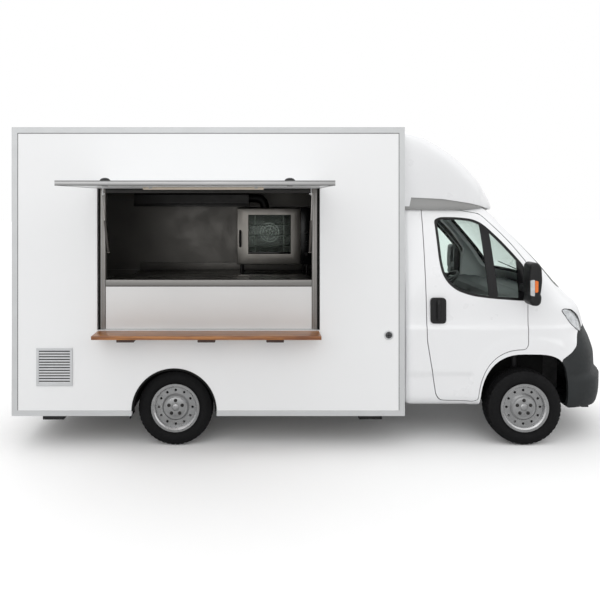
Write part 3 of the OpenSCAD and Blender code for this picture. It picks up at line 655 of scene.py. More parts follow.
def build_camera():
    """The photograph's place: 5.8 m off the box's right wall, 2.1 m up, with a shift lens."""
    along, distance, height = 436.5, 5776, 2108
    data = bpy.data.cameras.new("camera")
    camera = bpy.data.objects.new("camera", data)
    bpy.context.scene.collection.objects.link(camera)
    camera.location = place((BOX_MID + along, -BOX_HALF - distance, height))
    camera.rotation_euler = (math.pi / 2, 0, 0)
    data.sensor_width = 36
    data.lens = 40.94
    data.shift_x = 0.0667
    data.shift_y = -0.1667
    data.clip_end = 100
    bpy.context.scene.camera = camera


def chosen_for(nodes, links, rays):
    """1 where a ray is of any of the named kinds."""
    path = nodes.new("ShaderNodeLightPath")
    result = path.outputs[rays[0]]
    for kind in rays[1:]:
        either = nodes.new("ShaderNodeMath")
        either.operation = "MAXIMUM"
        links.new(result, either.inputs[0])
        links.new(path.outputs[kind], either.inputs[1])
        result = either.outputs[0]
    return result


def choose(nodes, links, factor, off, on, output):
    """Joins two shaders and leads them to the output's surface."""
    mix = nodes.new("ShaderNodeMixShader")
    links.new(factor, mix.inputs[0])
    links.new(off.outputs[0], mix.inputs[1])
    links.new(on.outputs[0], mix.inputs[2])
    links.new(mix.outputs[0], nodes[output].inputs["Surface"])


def build_world():
    """Even pale light from all round, seen as white."""
    world = bpy.data.worlds.new("studio")
    bpy.context.scene.world = world
    world.use_nodes = True
    nodes = world.node_tree.nodes
    links = world.node_tree.links
    light = settings(nodes["Background"], {"Color": (1, 1, 1, 1), "Strength": 0.80})
    seen = settings(nodes.new("ShaderNodeBackground"), {"Color": (1, 1, 1, 1), "Strength": 1.0})
    factor = chosen_for(nodes, links, ("Is Camera Ray", "Is Glossy Ray", "Is Transmission Ray"))
    choose(nodes, links, factor, light, seen, "World Output")


def wide_lamp(name, direction, spread, strength):
    """A lamp far away that is as wide as a studio panel and falls evenly on the whole floor."""
    data = bpy.data.lights.new(name, "SUN")
    data.angle = math.radians(spread)
    data.energy = strength
    lamp = bpy.data.objects.new(name, data)
    bpy.context.scene.collection.objects.link(lamp)
    lamp.rotation_euler = Vector(direction).to_track_quat("-Z", "Y").to_euler()


def build_lights():
    """Four wide panels, strongest on the camera's side."""
    wide_lamp("sky_panel", (0.1, 0.15, -1.0), 70, 0.55)
    wide_lamp("camera_side_panel", (0.25, 1.0, -0.45), 60, 0.76)
    wide_lamp("front_panel", (-1.0, 0.25, -0.5), 60, 0.35)
    wide_lamp("far_side_panel", (0.2, -1.0, -0.5), 60, 0.45)


def build_floor():
    """A pale floor that is white to the camera and keeps the truck's shadow."""
    half = 60000
    corners = [(-half, -half, 0), (half, -half, 0), (half, half, 0), (-half, half, 0)]
    floor = new_object("floor", corners, [(0, 1, 2, 3)])
    material, nodes, links, principled = shader("floor_finish")
    nodes.remove(principled)
    lit = settings(nodes.new("ShaderNodeBsdfDiffuse"), {"Color": (0.62, 0.62, 0.62, 1)})
    shown = settings(nodes.new("ShaderNodeBsdfDiffuse"), {"Color": (0.98, 0.98, 0.98, 1)})
    glow = settings(nodes.new("ShaderNodeEmission"), {"Color": (1, 1, 1, 1), "Strength": 0.02})
    seen = nodes.new("ShaderNodeAddShader")
    links.new(shown.outputs[0], seen.inputs[0])
    links.new(glow.outputs[0], seen.inputs[1])
    factor = chosen_for(nodes, links, ("Is Camera Ray", "Is Transmission Ray"))
    choose(nodes, links, factor, lit, seen, "Material Output")
    floor.data.materials.append(material)


# --- Cab -------------------------------------------------------------------

SCREEN_FOOT = (498, 1301)
SCREEN_HEAD = (-225, 2050)
CAB_SIDE = [
    (CAB_BACK, 330), (380, 330), (420, 278), (NOSE - 130, 278), (NOSE - 18, 362), (NOSE, 450),
    (NOSE - 1, 545), (NOSE - 48, 592), (NOSE - 58, 738), (NOSE - 95, 865), (NOSE - 165, 1000),
    (NOSE - 235, 1105), (NOSE - 340, 1215), SCREEN_FOOT, (180, 1645), SCREEN_HEAD, (-330, 2112),
    (-520, 2120), (CAB_BACK, 2120),
]
CAB_OUTLINE = filleted(CAB_SIDE, 55)
CAB_CENTRE = (-300, 1100)
CAB_LEAN = [
    (300, 46), (420, 12), (612, 5), (628, -3), (980, -4), (1006, -4), (1034, 8), (1300, 26), (1700, 90),
    (2120, 190),
]
CAB_DRAW = [(CAB_BACK, 0), (40, 0), (290, 12), (490, 55), (640, 125), (NOSE - 128, 390), (NOSE - 20, 720)]
NOSE_SHIFT = [
    (300, 0), (545, 0), (592, 48), (738, 60), (865, 100), (1000, 150), (1105, 130), (1215, 60), (1301, 0),
]
ARCH_X = -6
ARCH_A = TYRE_R + 63
ARCH_B = TYRE_R + 146
SKIN = 34
DOOR_GAP = 7
FAR = 3000


def cab_half_width(x, z):
    shift = lookup(NOSE_SHIFT, z) * min(max((x - 200) / 250, 0), 1)
    width = CAB_HALF - lookup(CAB_LEAN, z) - lookup(CAB_DRAW, x + shift)
    # The wing and the door swell out round the wheel arch
    power = 2.4 if x < ARCH_X else 4
    a = abs(x - ARCH_X) / ARCH_A
    b = max(z - TYRE_R, 0) / ARCH_B
    ring = (a**power + b**power) ** (1 / power)
    if ring < 1.32 and x < 330:
        fade = min(max((1.32 - ring) / 0.12, 0), 1)
        width += 12 * fade * fade * (3 - 2 * fade)
    return min(width, CAB_HALF + 6)


def blend_angles(table, angle):
    """A value set at angles in degrees, smoothly joined round the circle."""
    degrees = math.degrees(angle) % 360
    rows = [(table[-1][0] - 360, table[-1][1])] + table + [(table[0][0] + 360, table[0][1])]
    return lookup(rows, degrees)


def cab_power(angle):
    return blend_angles(
        [(0, 14), (15, 9), (40, 9), (100, 10), (122, 13), (135, 26), (222, 26), (300, 26), (345, 24)],
        angle,
    )


def cab_crown(angle):
    return blend_angles(
        [(0, 0.1), (14, 0.1), (45, 0.07), (75, 0.05), (100, 0.02), (130, 0.0), (335, 0.0)], angle,
    )


def cab_form(name, grow):
    return rounded_form(name, CAB_OUTLINE, CAB_CENTRE, cab_half_width, cab_power, cab_crown, grow)


def superellipse(power, start, end, grow_x, grow_z, steps=14):
    """Part of the front wheel arch's edge."""
    points = []
    for i in range(steps + 1):
        t = math.radians(start + (end - start) * i / steps)
        c = math.cos(t)
        x = ARCH_X + (ARCH_A + grow_x) * math.copysign(abs(c) ** (2 / power), c)
        z = TYRE_R + (ARCH_B + grow_z) * abs(math.sin(t)) ** (2 / power)
        points.append((x, z))
    return points


def arch_outline(g):
    front = superellipse(4, 0, 90, g, g)
    rear = superellipse(2.4, 90, 180, g, g)
    low = [(ARCH_X - ARCH_A - g, 0), (ARCH_X + ARCH_A + g, 0)]
    return low + front + rear[1:]


DOOR_BACK = [
    (-340, 1984), (-540, 2018), (-851, 2024), (-840, 912), (-798, 657), (-764, 441), (-729, 396),
    (-444, 387),
]
DOOR_ARCH = [p for p in superellipse(2.4, 90, 180, 20, 43) if p[1] > 400]
DOOR_FRONT = [(16, 865), (21, 1202), (39, 1562), (-82, 1720), (-183, 1829)]
DOOR_OUTLINE = filleted(DOOR_BACK + DOOR_ARCH[::-1] + DOOR_FRONT, 34, 4)
WINDOW_OUTLINE = filleted(
    [
        (-753, 1935), (-728, 1580), (-705, 1468), (-655, 1384), (-575, 1322), (-450, 1280), (-280, 1258),
        (-60, 1242), (24, 1239), (24, 1526), (-60, 1630), (-168, 1753), (-294, 1877), (-352, 1921),
        (-423, 1947), (-548, 1961), (-700, 1961),
    ],
    60, 5,
)
GLASS_INSET = 26
DIVIDER = [(-362, 2000), (-300, 1200), (-222, 1200), (-290, 2000)]
FRONT_POST = [(-58, 1900), (-50, 1200), (60, 1200), (60, 1900)]
SCREEN_FACE = filleted([(905, 1335), (740, 1998), (-740, 1998), (-905, 1335)], 90, 6)
BONNET_BACK = SCREEN_FOOT[0] + 14
BONNET_HALF = 760
BONNET_FRONT_Z = 1115
ARCH_INNER = 560
DOOR_INNER = CAB_HALF - 330
BUMPER_ZONE = filleted(
    [
        (300, 250), (NOSE + 50, 250), (NOSE + 50, 985), (560, 985), (500, 962), (486, 925), (472, 843),
        (420, 792), (314, 731),
    ],
    22, 4,
)
LAMP_ZONE = filleted(
    [
        (322, 1156), (350, 1170), (430, 1158), (500, 1108), (548, 1040), (566, 968), (545, 950), (490, 975),
        (410, 1045),
    ],
    26, 4,
)


def side_tool(outline, side, inner=640):
    """An outline of [x, z] drawn out sideways from a distance off the centreline."""
    y0, y1 = outward(side, inner, FAR)
    return prism_y(outline, y0, y1)


def both_sides(outline, inner):
    return join("tool", side_tool(outline, LEFT, inner), side_tool(outline, RIGHT, inner))


def bonnet_tool(g):
    back = BONNET_BACK - g
    low = BONNET_FRONT_Z - g
    outline = [(back, low), (NOSE, low), (NOSE, 1400), (back, 1400)]
    return prism_y(outline, -BONNET_HALF - g, BONNET_HALF + g)


def lamp_tools(g):
    return both_sides(grown(LAMP_ZONE, g), 640)


def arch_tools(g, inner=ARCH_INNER):
    return both_sides(arch_outline(g), inner)


def screen_tool(outline):
    """A form through the windscreen, along X."""
    return prism_x(outline, FRONT_X - 420, FRONT_X + 640)


def shell(name, outer_grow, inner_grow):
    """The skin between two sizes of the cab's form."""
    return cut_by(cab_form(name, outer_grow), cab_form("tool", inner_grow))


def build_cab_shell():
    """One skin, cut into the shell, the bonnet, the bumper and the doors."""
    skin = shell("cab_shell", 0, -SKIN)
    door_skin = copy_of(skin, "door_skin")
    bonnet = copy_of(skin, "bonnet_lid_panel")
    bumper = copy_of(skin, "bumper_moulding")
    for side in SIDES:
        cut_by(skin, side_tool(grown(DOOR_OUTLINE, DOOR_GAP), side, DOOR_INNER))
    cut_by(skin, screen_tool(SCREEN_FACE))
    cut_by(skin, bonnet_tool(DOOR_GAP))
    cut_by(skin, prism_y(grown(BUMPER_ZONE, 4), -FAR, FAR))
    cut_by(skin, lamp_tools(3))
    cut_by(skin, arch_tools(0))
    finish_piece(skin, PAINT, stands_for="cab_body")
    build_bonnet(bonnet)
    build_bumper(bumper)
    for side in SIDES:
        build_cab_door(copy_of(door_skin, SIDE_NAME[side] + "_door_panel"), side)
    discard(door_skin)


def build_bonnet(panel):
    """The lid between the lamps."""
    within(panel, bonnet_tool(0))
    cut_by(panel, lamp_tools(4))
    finish_piece(panel, PAINT, "bonnet_lid", stands_for="bonnet")


def build_bumper(panel):
    """Dark moulding round the nose, with its two openings."""
    within(panel, prism_y(BUMPER_ZONE, -FAR, FAR))
    cut_by(panel, lamp_tools(3))
    cut_by(panel, arch_tools(0))
    # Openings for air
    for z0, z1, half in ((640, 745, 560), (420, 520, 430)):
        face = filleted([(-half, z0), (half, z0), (half - 40, z1), (-half + 40, z1)], 30, 4)
        cut_by(panel, prism_x(face, FRONT_X + 500, FRONT_X + NOSE + 100))
    finish_piece(panel, BUMPER, stands_for="front_bumper")


def build_cab_door(panel, side):
    """The outer skin of a door, open at the window."""
    body = SIDE_NAME[side] + "_door"
    within(panel, side_tool(DOOR_OUTLINE, side, DOOR_INNER))
    cut_by(panel, side_tool(grown(WINDOW_OUTLINE, -3), side))
    finish_piece(panel, PAINT, body, stands_for=SIDE_NAME[side] + "_cab_door")


def build_door_windows():
    """A black frame with its slanting divider, and the glass behind it."""
    frame_skin = shell("window_frame_skin", 1, -16)
    glass_skin = shell("window_glass_skin", -5, -9)
    for side in SIDES:
        name = SIDE_NAME[side]
        body = name + "_door"
        ring = copy_of(frame_skin, name + "_window_frame")
        within(ring, side_tool(grown(WINDOW_OUTLINE, -3.5), side))
        light = side_tool(grown(WINDOW_OUTLINE, -GLASS_INSET), side)
        cut_by(light, side_tool(DIVIDER, side))
        cut_by(light, side_tool(FRONT_POST, side))
        cut_by(ring, light)
        finish_piece(ring, GLOSS_BLACK, body)
        pane = copy_of(glass_skin, name + "_window_pane")
        within(pane, side_tool(grown(WINDOW_OUTLINE, -9), side))
        finish_piece(pane, GLASS, body, stands_for=name + "_door_glass")
    discard(frame_skin)
    discard(glass_skin)


def build_windscreen():
    """The pane, and the black band along its edge."""
    pane = within(shell("windscreen_pane", -2, -7), screen_tool(grown(SCREEN_FACE, -3)))
    finish_piece(pane, GLASS, stands_for="windscreen")
    band = within(shell("windscreen_edge", 0, -10), screen_tool(grown(SCREEN_FACE, -1)))
    cut_by(band, screen_tool(grown(SCREEN_FACE, -42)))
    finish_piece(band, GLOSS_BLACK)


def build_headlights():
    """Clear lenses, reflectors behind them and a black edge."""
    lens = within(shell("headlight_lenses", 0, -6), lamp_tools(0))
    cut_by(lens, bonnet_tool(4))
    finish_piece(lens, CLEAR, stands_for="headlights")
    back = within(shell("headlight_housings", -14, -30), lamp_tools(-2))
    cut_by(back, bonnet_tool(4))
    finish_piece(back, REFLECTOR)
    rim = within(shell("headlight_edges", -1, -30), lamp_tools(1))
    cut_by(rim, lamp_tools(-4))
    cut_by(rim, bonnet_tool(4))
    finish_piece(rim, BLACK)


def build_cab_inside():
    """Floor, bulkhead, scuttle and the linings of the front arches."""
    parts = [
        bar((FRONT_X + CAB_BACK + 10, -830, 352), (FRONT_X - 520, 830, 560), 12),
        bar((FRONT_X - 525, -560, 352), (FRONT_X + 66, 560, 560), 12),
        bar((FRONT_X + 62, -560, 380), (FRONT_X + 82, 560, 760), 6),
        bar((FRONT_X + 62, -905, 756), (FRONT_X + 82, 905, 1245), 6),
        bar((FRONT_X + 60, -880, 1236), (FRONT_X + 180, 880, 1256), 6),
        bar((FRONT_X + 178, -700, 1236), (FRONT_X + 430, 700, 1256), 6),
    ]
    group("cabin_floor", parts, CABIN)
    plate(
        "cabin_rear_wall", (FRONT_X + CAB_BACK + SKIN, -800, 560),
        (FRONT_X + CAB_BACK + SKIN + 8, 800, 2020), 3, CABIN,
    )
    liner = arch_tools(12, 606)
    cut_by(liner, arch_tools(0, 620))
    within(liner, cab_form("tool", -6))
    cut_by(liner, prism_y(BUMPER_ZONE, -FAR, FAR))
    liner.name = "front_arch_liners"
    finish_piece(liner, SEAL)


# --- Roof fairing ----------------------------------------------------------

FAIRING_LOW, FAIRING_HIGH = local_box("roof_fairing")
FAIRING_BACK = FAIRING_LOW.x - FRONT_X
FAIRING_NOSE = -92
FAIRING_SIDE = [
    (FAIRING_BACK - 300, 1985), (FAIRING_NOSE - 60, 1985), (FAIRING_NOSE, 2022), (FAIRING_NOSE - 30, 2090),
    (-200, 2185), (-302, 2290), (-395, 2380), (-500, 2470), (-612, 2550), (-730, 2620), (-860, 2688),
    (FAIRING_BACK, FAIRING_HIGH.z), (FAIRING_BACK - 300, FAIRING_HIGH.z),
]
FAIRING_WIDTH = [(1985, 900), (2150, 945), (2480, 1020), (2725, 1050)]
FAIRING_PLAN = [
    (FAIRING_BACK, 1062), (-700, 1050), (-500, 985), (-340, 860), (-240, 700), (FAIRING_NOSE, 520),
]
FAIRING_EDGE = [
    (FAIRING_BACK - 50, 2052), (-968, 2052), (-957, 2130), (-686, 2117), (-434, 2080), (-160, 2024),
    (FAIRING_NOSE + 60, 2004),
]


def fairing_half(x, z):
    """The lesser of the width from above and from the front, smoothly joined."""
    join_power = 10
    a = lookup(FAIRING_PLAN, x)
    b = lookup(FAIRING_WIDTH, z)
    return (a**-join_power + b**-join_power) ** (-1 / join_power)


def fairing_power(angle):
    return blend_angles([(0, 9), (60, 8), (110, 9), (180, 12), (270, 20), (330, 16)], angle)


def fairing_crown(angle):
    return blend_angles([(0, 0.03), (50, 0.02), (100, 0.0), (340, 0.02)], angle)


def fairing_shell(name, outer, inner):
    """The fairing's skin between two sizes, open at the back and over the cab."""
    outline = filleted(FAIRING_SIDE, 60)
    centre = (FAIRING_BACK + 120, 2330)
    skin = rounded_form(name, outline, centre, fairing_half, fairing_power, fairing_crown, outer, 240)
    core = rounded_form("tool", outline, centre, fairing_half, fairing_power, fairing_crown, inner, 240)
    cut_by(skin, core)
    cut_by(skin, slab((FRONT_X - FAR, -FAR, 0), (FRONT_X + FAIRING_BACK, FAR, 4000)))
    return cut_by(skin, cab_form("tool", 6))


def build_fairing():
    """The white shell, and below its edge a band that stands further in, painted grey as the shade under
    the lip.
    """
    below = FAIRING_EDGE + [(FAIRING_NOSE + 60, 1700), (FAIRING_BACK - 50, 1700)]
    outer = cut_by(fairing_shell("fairing_shell", 0, -16), prism_y(below, -FAR, FAR))
    finish_piece(outer, PAINT, stands_for="roof_fairing")
    above = [(x, z + 14) for x, z in FAIRING_EDGE] + [(FAIRING_NOSE + 60, 1700), (FAIRING_BACK - 50, 1700)]
    # The band under the lip is painted grey as shade
    band = within(fairing_shell("fairing_underside", -17, -34), prism_y(above, -FAR, FAR))
    finish_piece(band, SHADED_UNDERSIDE)


# --- Wheels ----------------------------------------------------------------


def build_tyre(name, x, side, node, body):
    """Revolved section with four grooves, and cross cuts in the tread."""
    half = TYRE_HALF
    around = 192
    groove = 8
    cross_cut = 5
    rim_r = TYRE_R - 131
    wall = [
        (0, 30), (4, 16), (20, 12), (34, 5), (60, 0), (76, 0.5), (90, 3), (104, 9),
    ]
    section = [(rim_r + rise, -half + inset, 0) for rise, inset in wall]
    tread = []
    for g in (-0.62, -0.22, 0.22, 0.62):
        centre = g * (half - 18)
        tread += [(centre - 6, 0), (centre - 5, 1), (centre + 5, 1), (centre + 6, 0)]
    edge = half - 16
    tread = [(-edge, 0), (-edge + 12, 0)] + tread + [(edge - 12, 0), (edge, 0)]
    for w, deep in tread:
        crown = 9 * (abs(w) / edge) ** 3
        section.append((TYRE_R - crown - (groove if deep else 0), w, 0 if deep else 1))
    section += [(r, -w, f) for r, w, f in reversed(section[:len(wall)])]
    points = []
    for i in range(around):
        a = 2 * math.pi * i / around
        cut = (i % 4) == 0
        for r, w, flag in section:
            deep = cross_cut if (flag and cut and abs(w) > edge * 0.2) else 0
            reach = r - deep
            points.append((x + reach * math.cos(a), side * HALF_TRACK + w, TYRE_R + reach * math.sin(a)))
    n = len(section)
    faces = []
    for i in range(around):
        j = (i + 1) % around
        for k in range(n):
            m = (k + 1) % n
            faces.append((i * n + k, i * n + m, j * n + m, j * n + k))
    tyre = new_object(name, points, faces)
    finish_piece(tyre, RUBBER, body, 28, stands_for=node)
    # Raised rings on the sidewall
    out = side * HALF_TRACK + side * half
    for k, r in enumerate((rim_r + 22, rim_r + 88)):
        top = -1.2 - 2 * k
        bead = [(r - 2.2, -6), (r - 1.4, top), (r + 1.4, top), (r + 2.2, -8)]
        ring = turned(name + "_ring_" + str(k), bead, (x, out, TYRE_R), (0, side, 0), 96)
        finish_piece(ring, RUBBER, body)


def build_hub(name, x, side, body):
    """Domed cap and five wheel bolts."""
    face = side * (HALF_TRACK + TYRE_HALF)
    out = (0, side, 0)
    at = (x, face, TYRE_R)
    section = [(0, -24), (18, -24.5), (27, -27), (31, -31), (32, -48), (0, -48)]
    finish_piece(turned(name + "_cap", section, at, out, 48), RIM_PAINTED_SHADE, body)
    section = [(34, -31), (80, -31), (88, -34), (90, -40), (34, -40)]
    finish_piece(turned(name + "_step", section, at, out, 64), RIM_PAINTED_SHADE, body)
    section = [(0, -12), (7, -13), (10, -17), (11, -27), (15, -29), (15.5, -33), (0, -33)]
    circle = 60
    bolts = []
    for k in range(5):
        a = math.radians(90 + 72 * k)
        bolt_at = (x + circle * math.cos(a), face, TYRE_R + circle * math.sin(a))
        bolts.append(turned("bolt", section, bolt_at, out, 24))
    group(name + "_bolts", bolts, DARK_STEEL, body)
    section = [
        (172, -46), (176, -20), (186, -11), (196, -9), (205, -11), (207, -16), (198, -17), (188, -18),
        (180, -40),
    ]
    # The lip ring takes the lighter copy of the rim metal, a painted highlight
    finish_piece(turned(name + "_ring", section, at, out, 96), RIM_LIP_PAINTED_HIGHLIGHT, body)


def build_wheels():
    """A tyre and a hub on each of the four rims."""
    for end, x in (("front", FRONT_X), ("rear", REAR_X)):
        for side in SIDES:
            stem = end + "_" + SIDE_NAME[side]
            body = stem + "_wheel"
            build_tyre(stem + "_tread", x, side, stem + "_tyre", body)
            build_hub(stem + "_hub", x, side, body)


# --- Box body --------------------------------------------------------------


def build_box_edges():
    """Dark lines inside the trims, the roof's edge trims and corner posts at the back; the line under the
    top trim is a painted shadow, the upright lines are sealing gaps.
    """
    trim = 47
    lines = []
    for side in SIDES:
        y0, y1 = outward(side, BOX_HALF - 0.5, BOX_HALF + 0.8)
        x0 = BOX_BACK + trim
        x1 = BOX_FRONT - trim
        z1 = BOX_TOP - trim
        # Painted shadow: the dark line under the top trim stands for the trim's shadow; the upright lines
        # are sealing gaps
        lines.append(bar((x0, y0, z1 - 5), (x1, y1, z1), 0.3, 1))
        lines.append(bar((x0, y0, BOX_BOTTOM + trim), (x0 + 4, y1, z1), 0.3, 1))
        lines.append(bar((x1 - 4, y0, BOX_BOTTOM + trim), (x1, y1, z1), 0.3, 1))
    group("trim_shadow_and_gap_lines", lines, SEAL)
    edges = []
    for side in SIDES:
        y0, y1 = outward(side, BOX_HALF - 44, BOX_HALF + 3)
        edges.append(bar((BOX_BACK, y0, BOX_TOP), (BOX_FRONT, y1, BOX_TOP + 2.5), 1, 2))
    for x0, x1 in ((BOX_BACK, BOX_BACK + 44), (BOX_FRONT - 44, BOX_FRONT)):
        edges.append(bar((x0, -BOX_HALF + 44, BOX_TOP), (x1, BOX_HALF - 44, BOX_TOP + 2.5), 1, 2))
    group("roof_edge_trims", edges, TRIM)
    back = []
    for side in SIDES:
        y0, y1 = outward(side, BOX_HALF - 46, BOX_HALF + 2)
        back.append(bar((BOX_BACK - 3, y0, BOX_BOTTOM), (BOX_BACK, y1, BOX_TOP), 1, 2))
    back.append(bar((BOX_BACK - 3, -BOX_HALF + 46, BOX_TOP - 46), (BOX_BACK, BOX_HALF - 46, BOX_TOP), 1, 2))
    group("rear_corner_trims", back, TRIM)


def build_vent_grille():
    """Louvred grille low on the right wall."""
    x0, x1 = BOX_BACK + 207, BOX_BACK + 514
    z0, z1 = 535, 855
    y = -BOX_HALF
    rim = 22
    parts = [
        bar((x0, y - 9, z1 - rim), (x1, y, z1), 2), bar((x0, y - 9, z0), (x1, y, z0 + rim), 2),
        bar((x0, y - 9, z0 + rim - 1), (x0 + rim, y, z1 - rim + 1), 2),
        bar((x1 - rim, y - 9, z0 + rim - 1), (x1, y, z1 - rim + 1), 2),
    ]
    count = 12
    pitch = (z1 - z0 - 2 * rim) / count
    for k in range(count):
        z = z0 + rim + pitch * k
        blade = prism_x(
            [(y - 8, z + 1), (y - 6.5, z), (y - 1.5, z + pitch * 0.48), (y - 3, z + pitch * 0.56)],
            x0 + rim - 1, x1 - rim + 1,
        )
        parts.append(blade)
    group("vent_grille", parts, GRILLE)
    plate(
        "vent_shadow", (x0 + rim - 2, y - 1.2, z0 + rim - 2), (x1 - rim + 2, y, z1 - rim + 2), 0.4,
        DARK_STEEL, segments=1,
    )


def build_inlet_cap():
    """Round cable inlet near the box's front edge."""
    at = (BOX_FRONT - 136, -BOX_HALF, 963)
    ring = turned("inlet_ring", [(28, 0), (29, 5), (33, 8), (38, 7), (40.5, 0)], at, (0, -1, 0), 48)
    finish_piece(ring, TRIM)
    cap = turned("inlet_cap", [(0, 5), (14, 5), (24, 3.5), (28, 0), (0, 0)], at, (0, -1, 0), 48)
    finish_piece(cap, CABIN)
    bars = [
        bar((at[0] - 20, at[1] - 8, at[2] - 3), (at[0] + 20, at[1] - 3, at[2] + 3), 1.5),
        bar((at[0] - 3, at[1] - 8, at[2] - 20), (at[0] + 3, at[1] - 3, at[2] + 20), 1.5),
    ]
    group("inlet_cross", bars, BLACK)


def arch_strip(name, inner_r, outer_r, y0, y1, steps):
    """Half a ring round the rear axle, of rectangular section."""
    points = []
    for i in range(steps + 1):
        a = math.pi * i / steps
        for r, y in ((inner_r, y0), (inner_r, y1), (outer_r, y1), (outer_r, y0)):
            points.append((REAR_X + r * math.cos(a), y, TYRE_R + r * math.sin(a)))
    faces = []
    for i in range(steps):
        for k in range(4):
            m = (k + 1) % 4
            faces.append((i * 4 + k, i * 4 + m, (i + 1) * 4 + m, (i + 1) * 4 + k))
    faces += [(0, 1, 2, 3), tuple(steps * 4 + k for k in range(4))]
    return new_object(name, points, faces)


def build_arch_and_flaps():
    """Black lips and linings of the rear arches, and a small flap behind each rear wheel."""
    r = TYRE_R + ARCH_GAP
    for side in SIDES:
        name = SIDE_NAME[side] + "_arch_lip"
        lip = arch_strip(name, r - 14, r + 1, side * (BOX_HALF - 40), side * (BOX_HALF + 3.5), 48)
        finish_piece(lip, SEAL)
    liners = []
    for side in SIDES:
        liners.append(arch_strip("part", r - 8, r - 1, side * 694, side * (BOX_HALF - 1), 40))
        y0, y1 = outward(side, 691, 695)
        liners.append(bar((REAR_X - r + 4, y0, 335), (REAR_X + r - 4, y1, TYRE_R + r * 0.55), 1, 1))
    group("rear_arch_liners", liners, SEAL)
    flaps = []
    for side in SIDES:
        y0, y1 = outward(side, 820, BOX_HALF - 50)
        flaps.append(bar((REAR_X - r - 26, y0, 236), (REAR_X - r - 20, y1, 334), 2))
    group("rear_mud_flaps", flaps, SEAL)


def build_box_inside():
    """Dark sheet lining on the inner walls and the ceiling."""
    t = 2
    inner = BOX_HALF - WALL
    x0 = BOX_BACK + WALL
    x1 = BOX_FRONT - WALL
    top = BOX_TOP - WALL
    unit_x = local_box("kitchen_unit")[0].x
    sheets = [
        bar((x0 + 1, inner - t, FLOOR_TOP + 2), (unit_x - 2, inner, 1304), 0.5, 1),
        bar((x0 + 1, inner - t, 1305), (x1 - 1, inner, top - 1), 0.5, 1),
        bar((x1 - t, -inner + 1, FLOOR_TOP + 2), (x1, inner - 3, top - 1), 0.5, 1),
        bar((x0 + 1, -inner + 1, top - t), (x1 - 3, inner - 3, top), 0.5, 1),
    ]
    group("wall_lining", sheets, INNER_STEEL)


# --- Serving side ----------------------------------------------------------


def build_hatch():
    """Aluminium edge, dark flanges, latch knobs with their plates, and the lamp under the panel."""
    x0 = HATCH_LOW.x
    x1 = HATCH_HIGH.x
    y0 = HATCH_LOW.y
    y1 = -BOX_HALF - 4
    z0 = FRAME_HIGH.z
    z1 = z0 + 31
    e = 26
    parts = [
        bar((x0 - 0.6, y0 - 0.6, z0 - 1.2), (x1 + 0.6, y0 + e, z0 + 2), 1),
        bar((x0 - 0.6, y0 - 0.6, z1 - 2), (x1 + 0.6, y0 + e, z1 + 1.2), 1),
        bar((x0 - 1, y0 - 1.2, z0 + 3), (x1 + 1, y0 + 2, z1 - 3), 1),
    ]
    for s, x in ((1, x0), (-1, x1)):
        a, b = sorted((x - s * 1.2, x + s * e))
        parts.append(bar((a, y0, z0 - 1.2), (b, y1, z0 + 2), 1))
        parts.append(bar((a, y0, z1 - 2), (b, y1, z1 + 1.2), 1))
        a, b = sorted((x - s * 1.2, x + s * 2))
        parts.append(bar((a, y0, z0), (b, y1, z1), 1))
    group("hatch_edge", parts, ALUMINIUM, "hatch")
    flanges = [
        bar((x0 - 1.2, y0 - 2, z0 - 1.6), (x1 + 1.2, y0 + 3, z0 + 5), 1.2),
        bar((x0 - 1.2, y0 - 2, z1 - 5), (x1 + 1.2, y0 + 3, z1 + 1.6), 1.2),
    ]
    group("hatch_flanges", flanges, EDGE_DARK, "hatch")
    for k, x in enumerate((BOX_MID - 637.5, BOX_MID + 643.5)):
        section = [(0, 25), (12, 24), (26, 19), (36, 9), (38.5, 0), (0, 0)]
        knob = turned("hatch_knob_" + str(k), section, (x, y0 + 150, z1), (0, 0, 1), 40)
        finish_piece(knob, BLACK, "hatch")
        plate(
            "hatch_latch_" + str(k), (x - 20, y0 + 135, z0 - 3), (x + 20, y0 + 165, z0 - 0.4), 1, BLACK,
            body="hatch",
        )
    middle = BOX_MID + 7.5
    plate(
        "hatch_lamp", (middle - 458, -BOX_HALF - 615, z0 - 20), (middle + 458, -BOX_HALF - 585, z0 - 1), 7,
        DIFFUSER, segments=4, body="hatch",
    )
    clips = []
    for x in (middle - 400, middle + 400):
        clips.append(bar((x - 12, -BOX_HALF - 618, z0 - 12), (x + 12, -BOX_HALF - 582, z0), 2))
    group("lamp_clips", clips, ALUMINIUM, "hatch")


def build_serving_opening():
    """White panel below the counter, dark seals beside the posts and the counter's steel edge."""
    x0 = COUNTER_LOW.x
    x1 = COUNTER_HIGH.x
    y = COUNTER_LOW.y + 2
    top = COUNTER_HIGH.z
    plate(
        "counter_front", (x0 + 1, y - 1, FRAME_LOW.z + 5), (x1 - 1, y + 2, top - 53), 1, COUNTER_PANEL,
        segments=2,
    )
    plate(
        "counter_edge", (x0 - 0.5, COUNTER_LOW.y - 2.5, top - 51),
        (x1 + 0.5, COUNTER_LOW.y + 12, top + 0.8), 3, COUNTER_EDGE, segments=4,
    )
    plate(
        "counter_bead", (x0 + 2, y - 2, top - 57), (x1 - 2, y + 2, top - 52), 1, SEAL,
        segments=2,
    )
    seals = []
    for s, x in ((1, FRAME_LOW.x), (-1, FRAME_HIGH.x)):
        a, b = sorted((x - s * 17, x - s * 3))
        seals.append(bar((a, FRAME_LOW.y - 1, FRAME_LOW.z), (b, FRAME_LOW.y + 26, FRAME_HIGH.z - 2), 3))
    group("opening_seals", seals, SEAL)
    grooves = []
    for s, x in ((1, FRAME_LOW.x), (-1, FRAME_HIGH.x)):
        for d in (9, 32):
            a, b = sorted((x + s * d, x + s * (d + 3)))
            grooves.append(
                bar((a, FRAME_LOW.y - 1.5, FRAME_LOW.z), (b, FRAME_LOW.y + 1, FRAME_HIGH.z - 40), 0.6, 2),
            )
    group("post_ribs", grooves, ALUMINIUM)


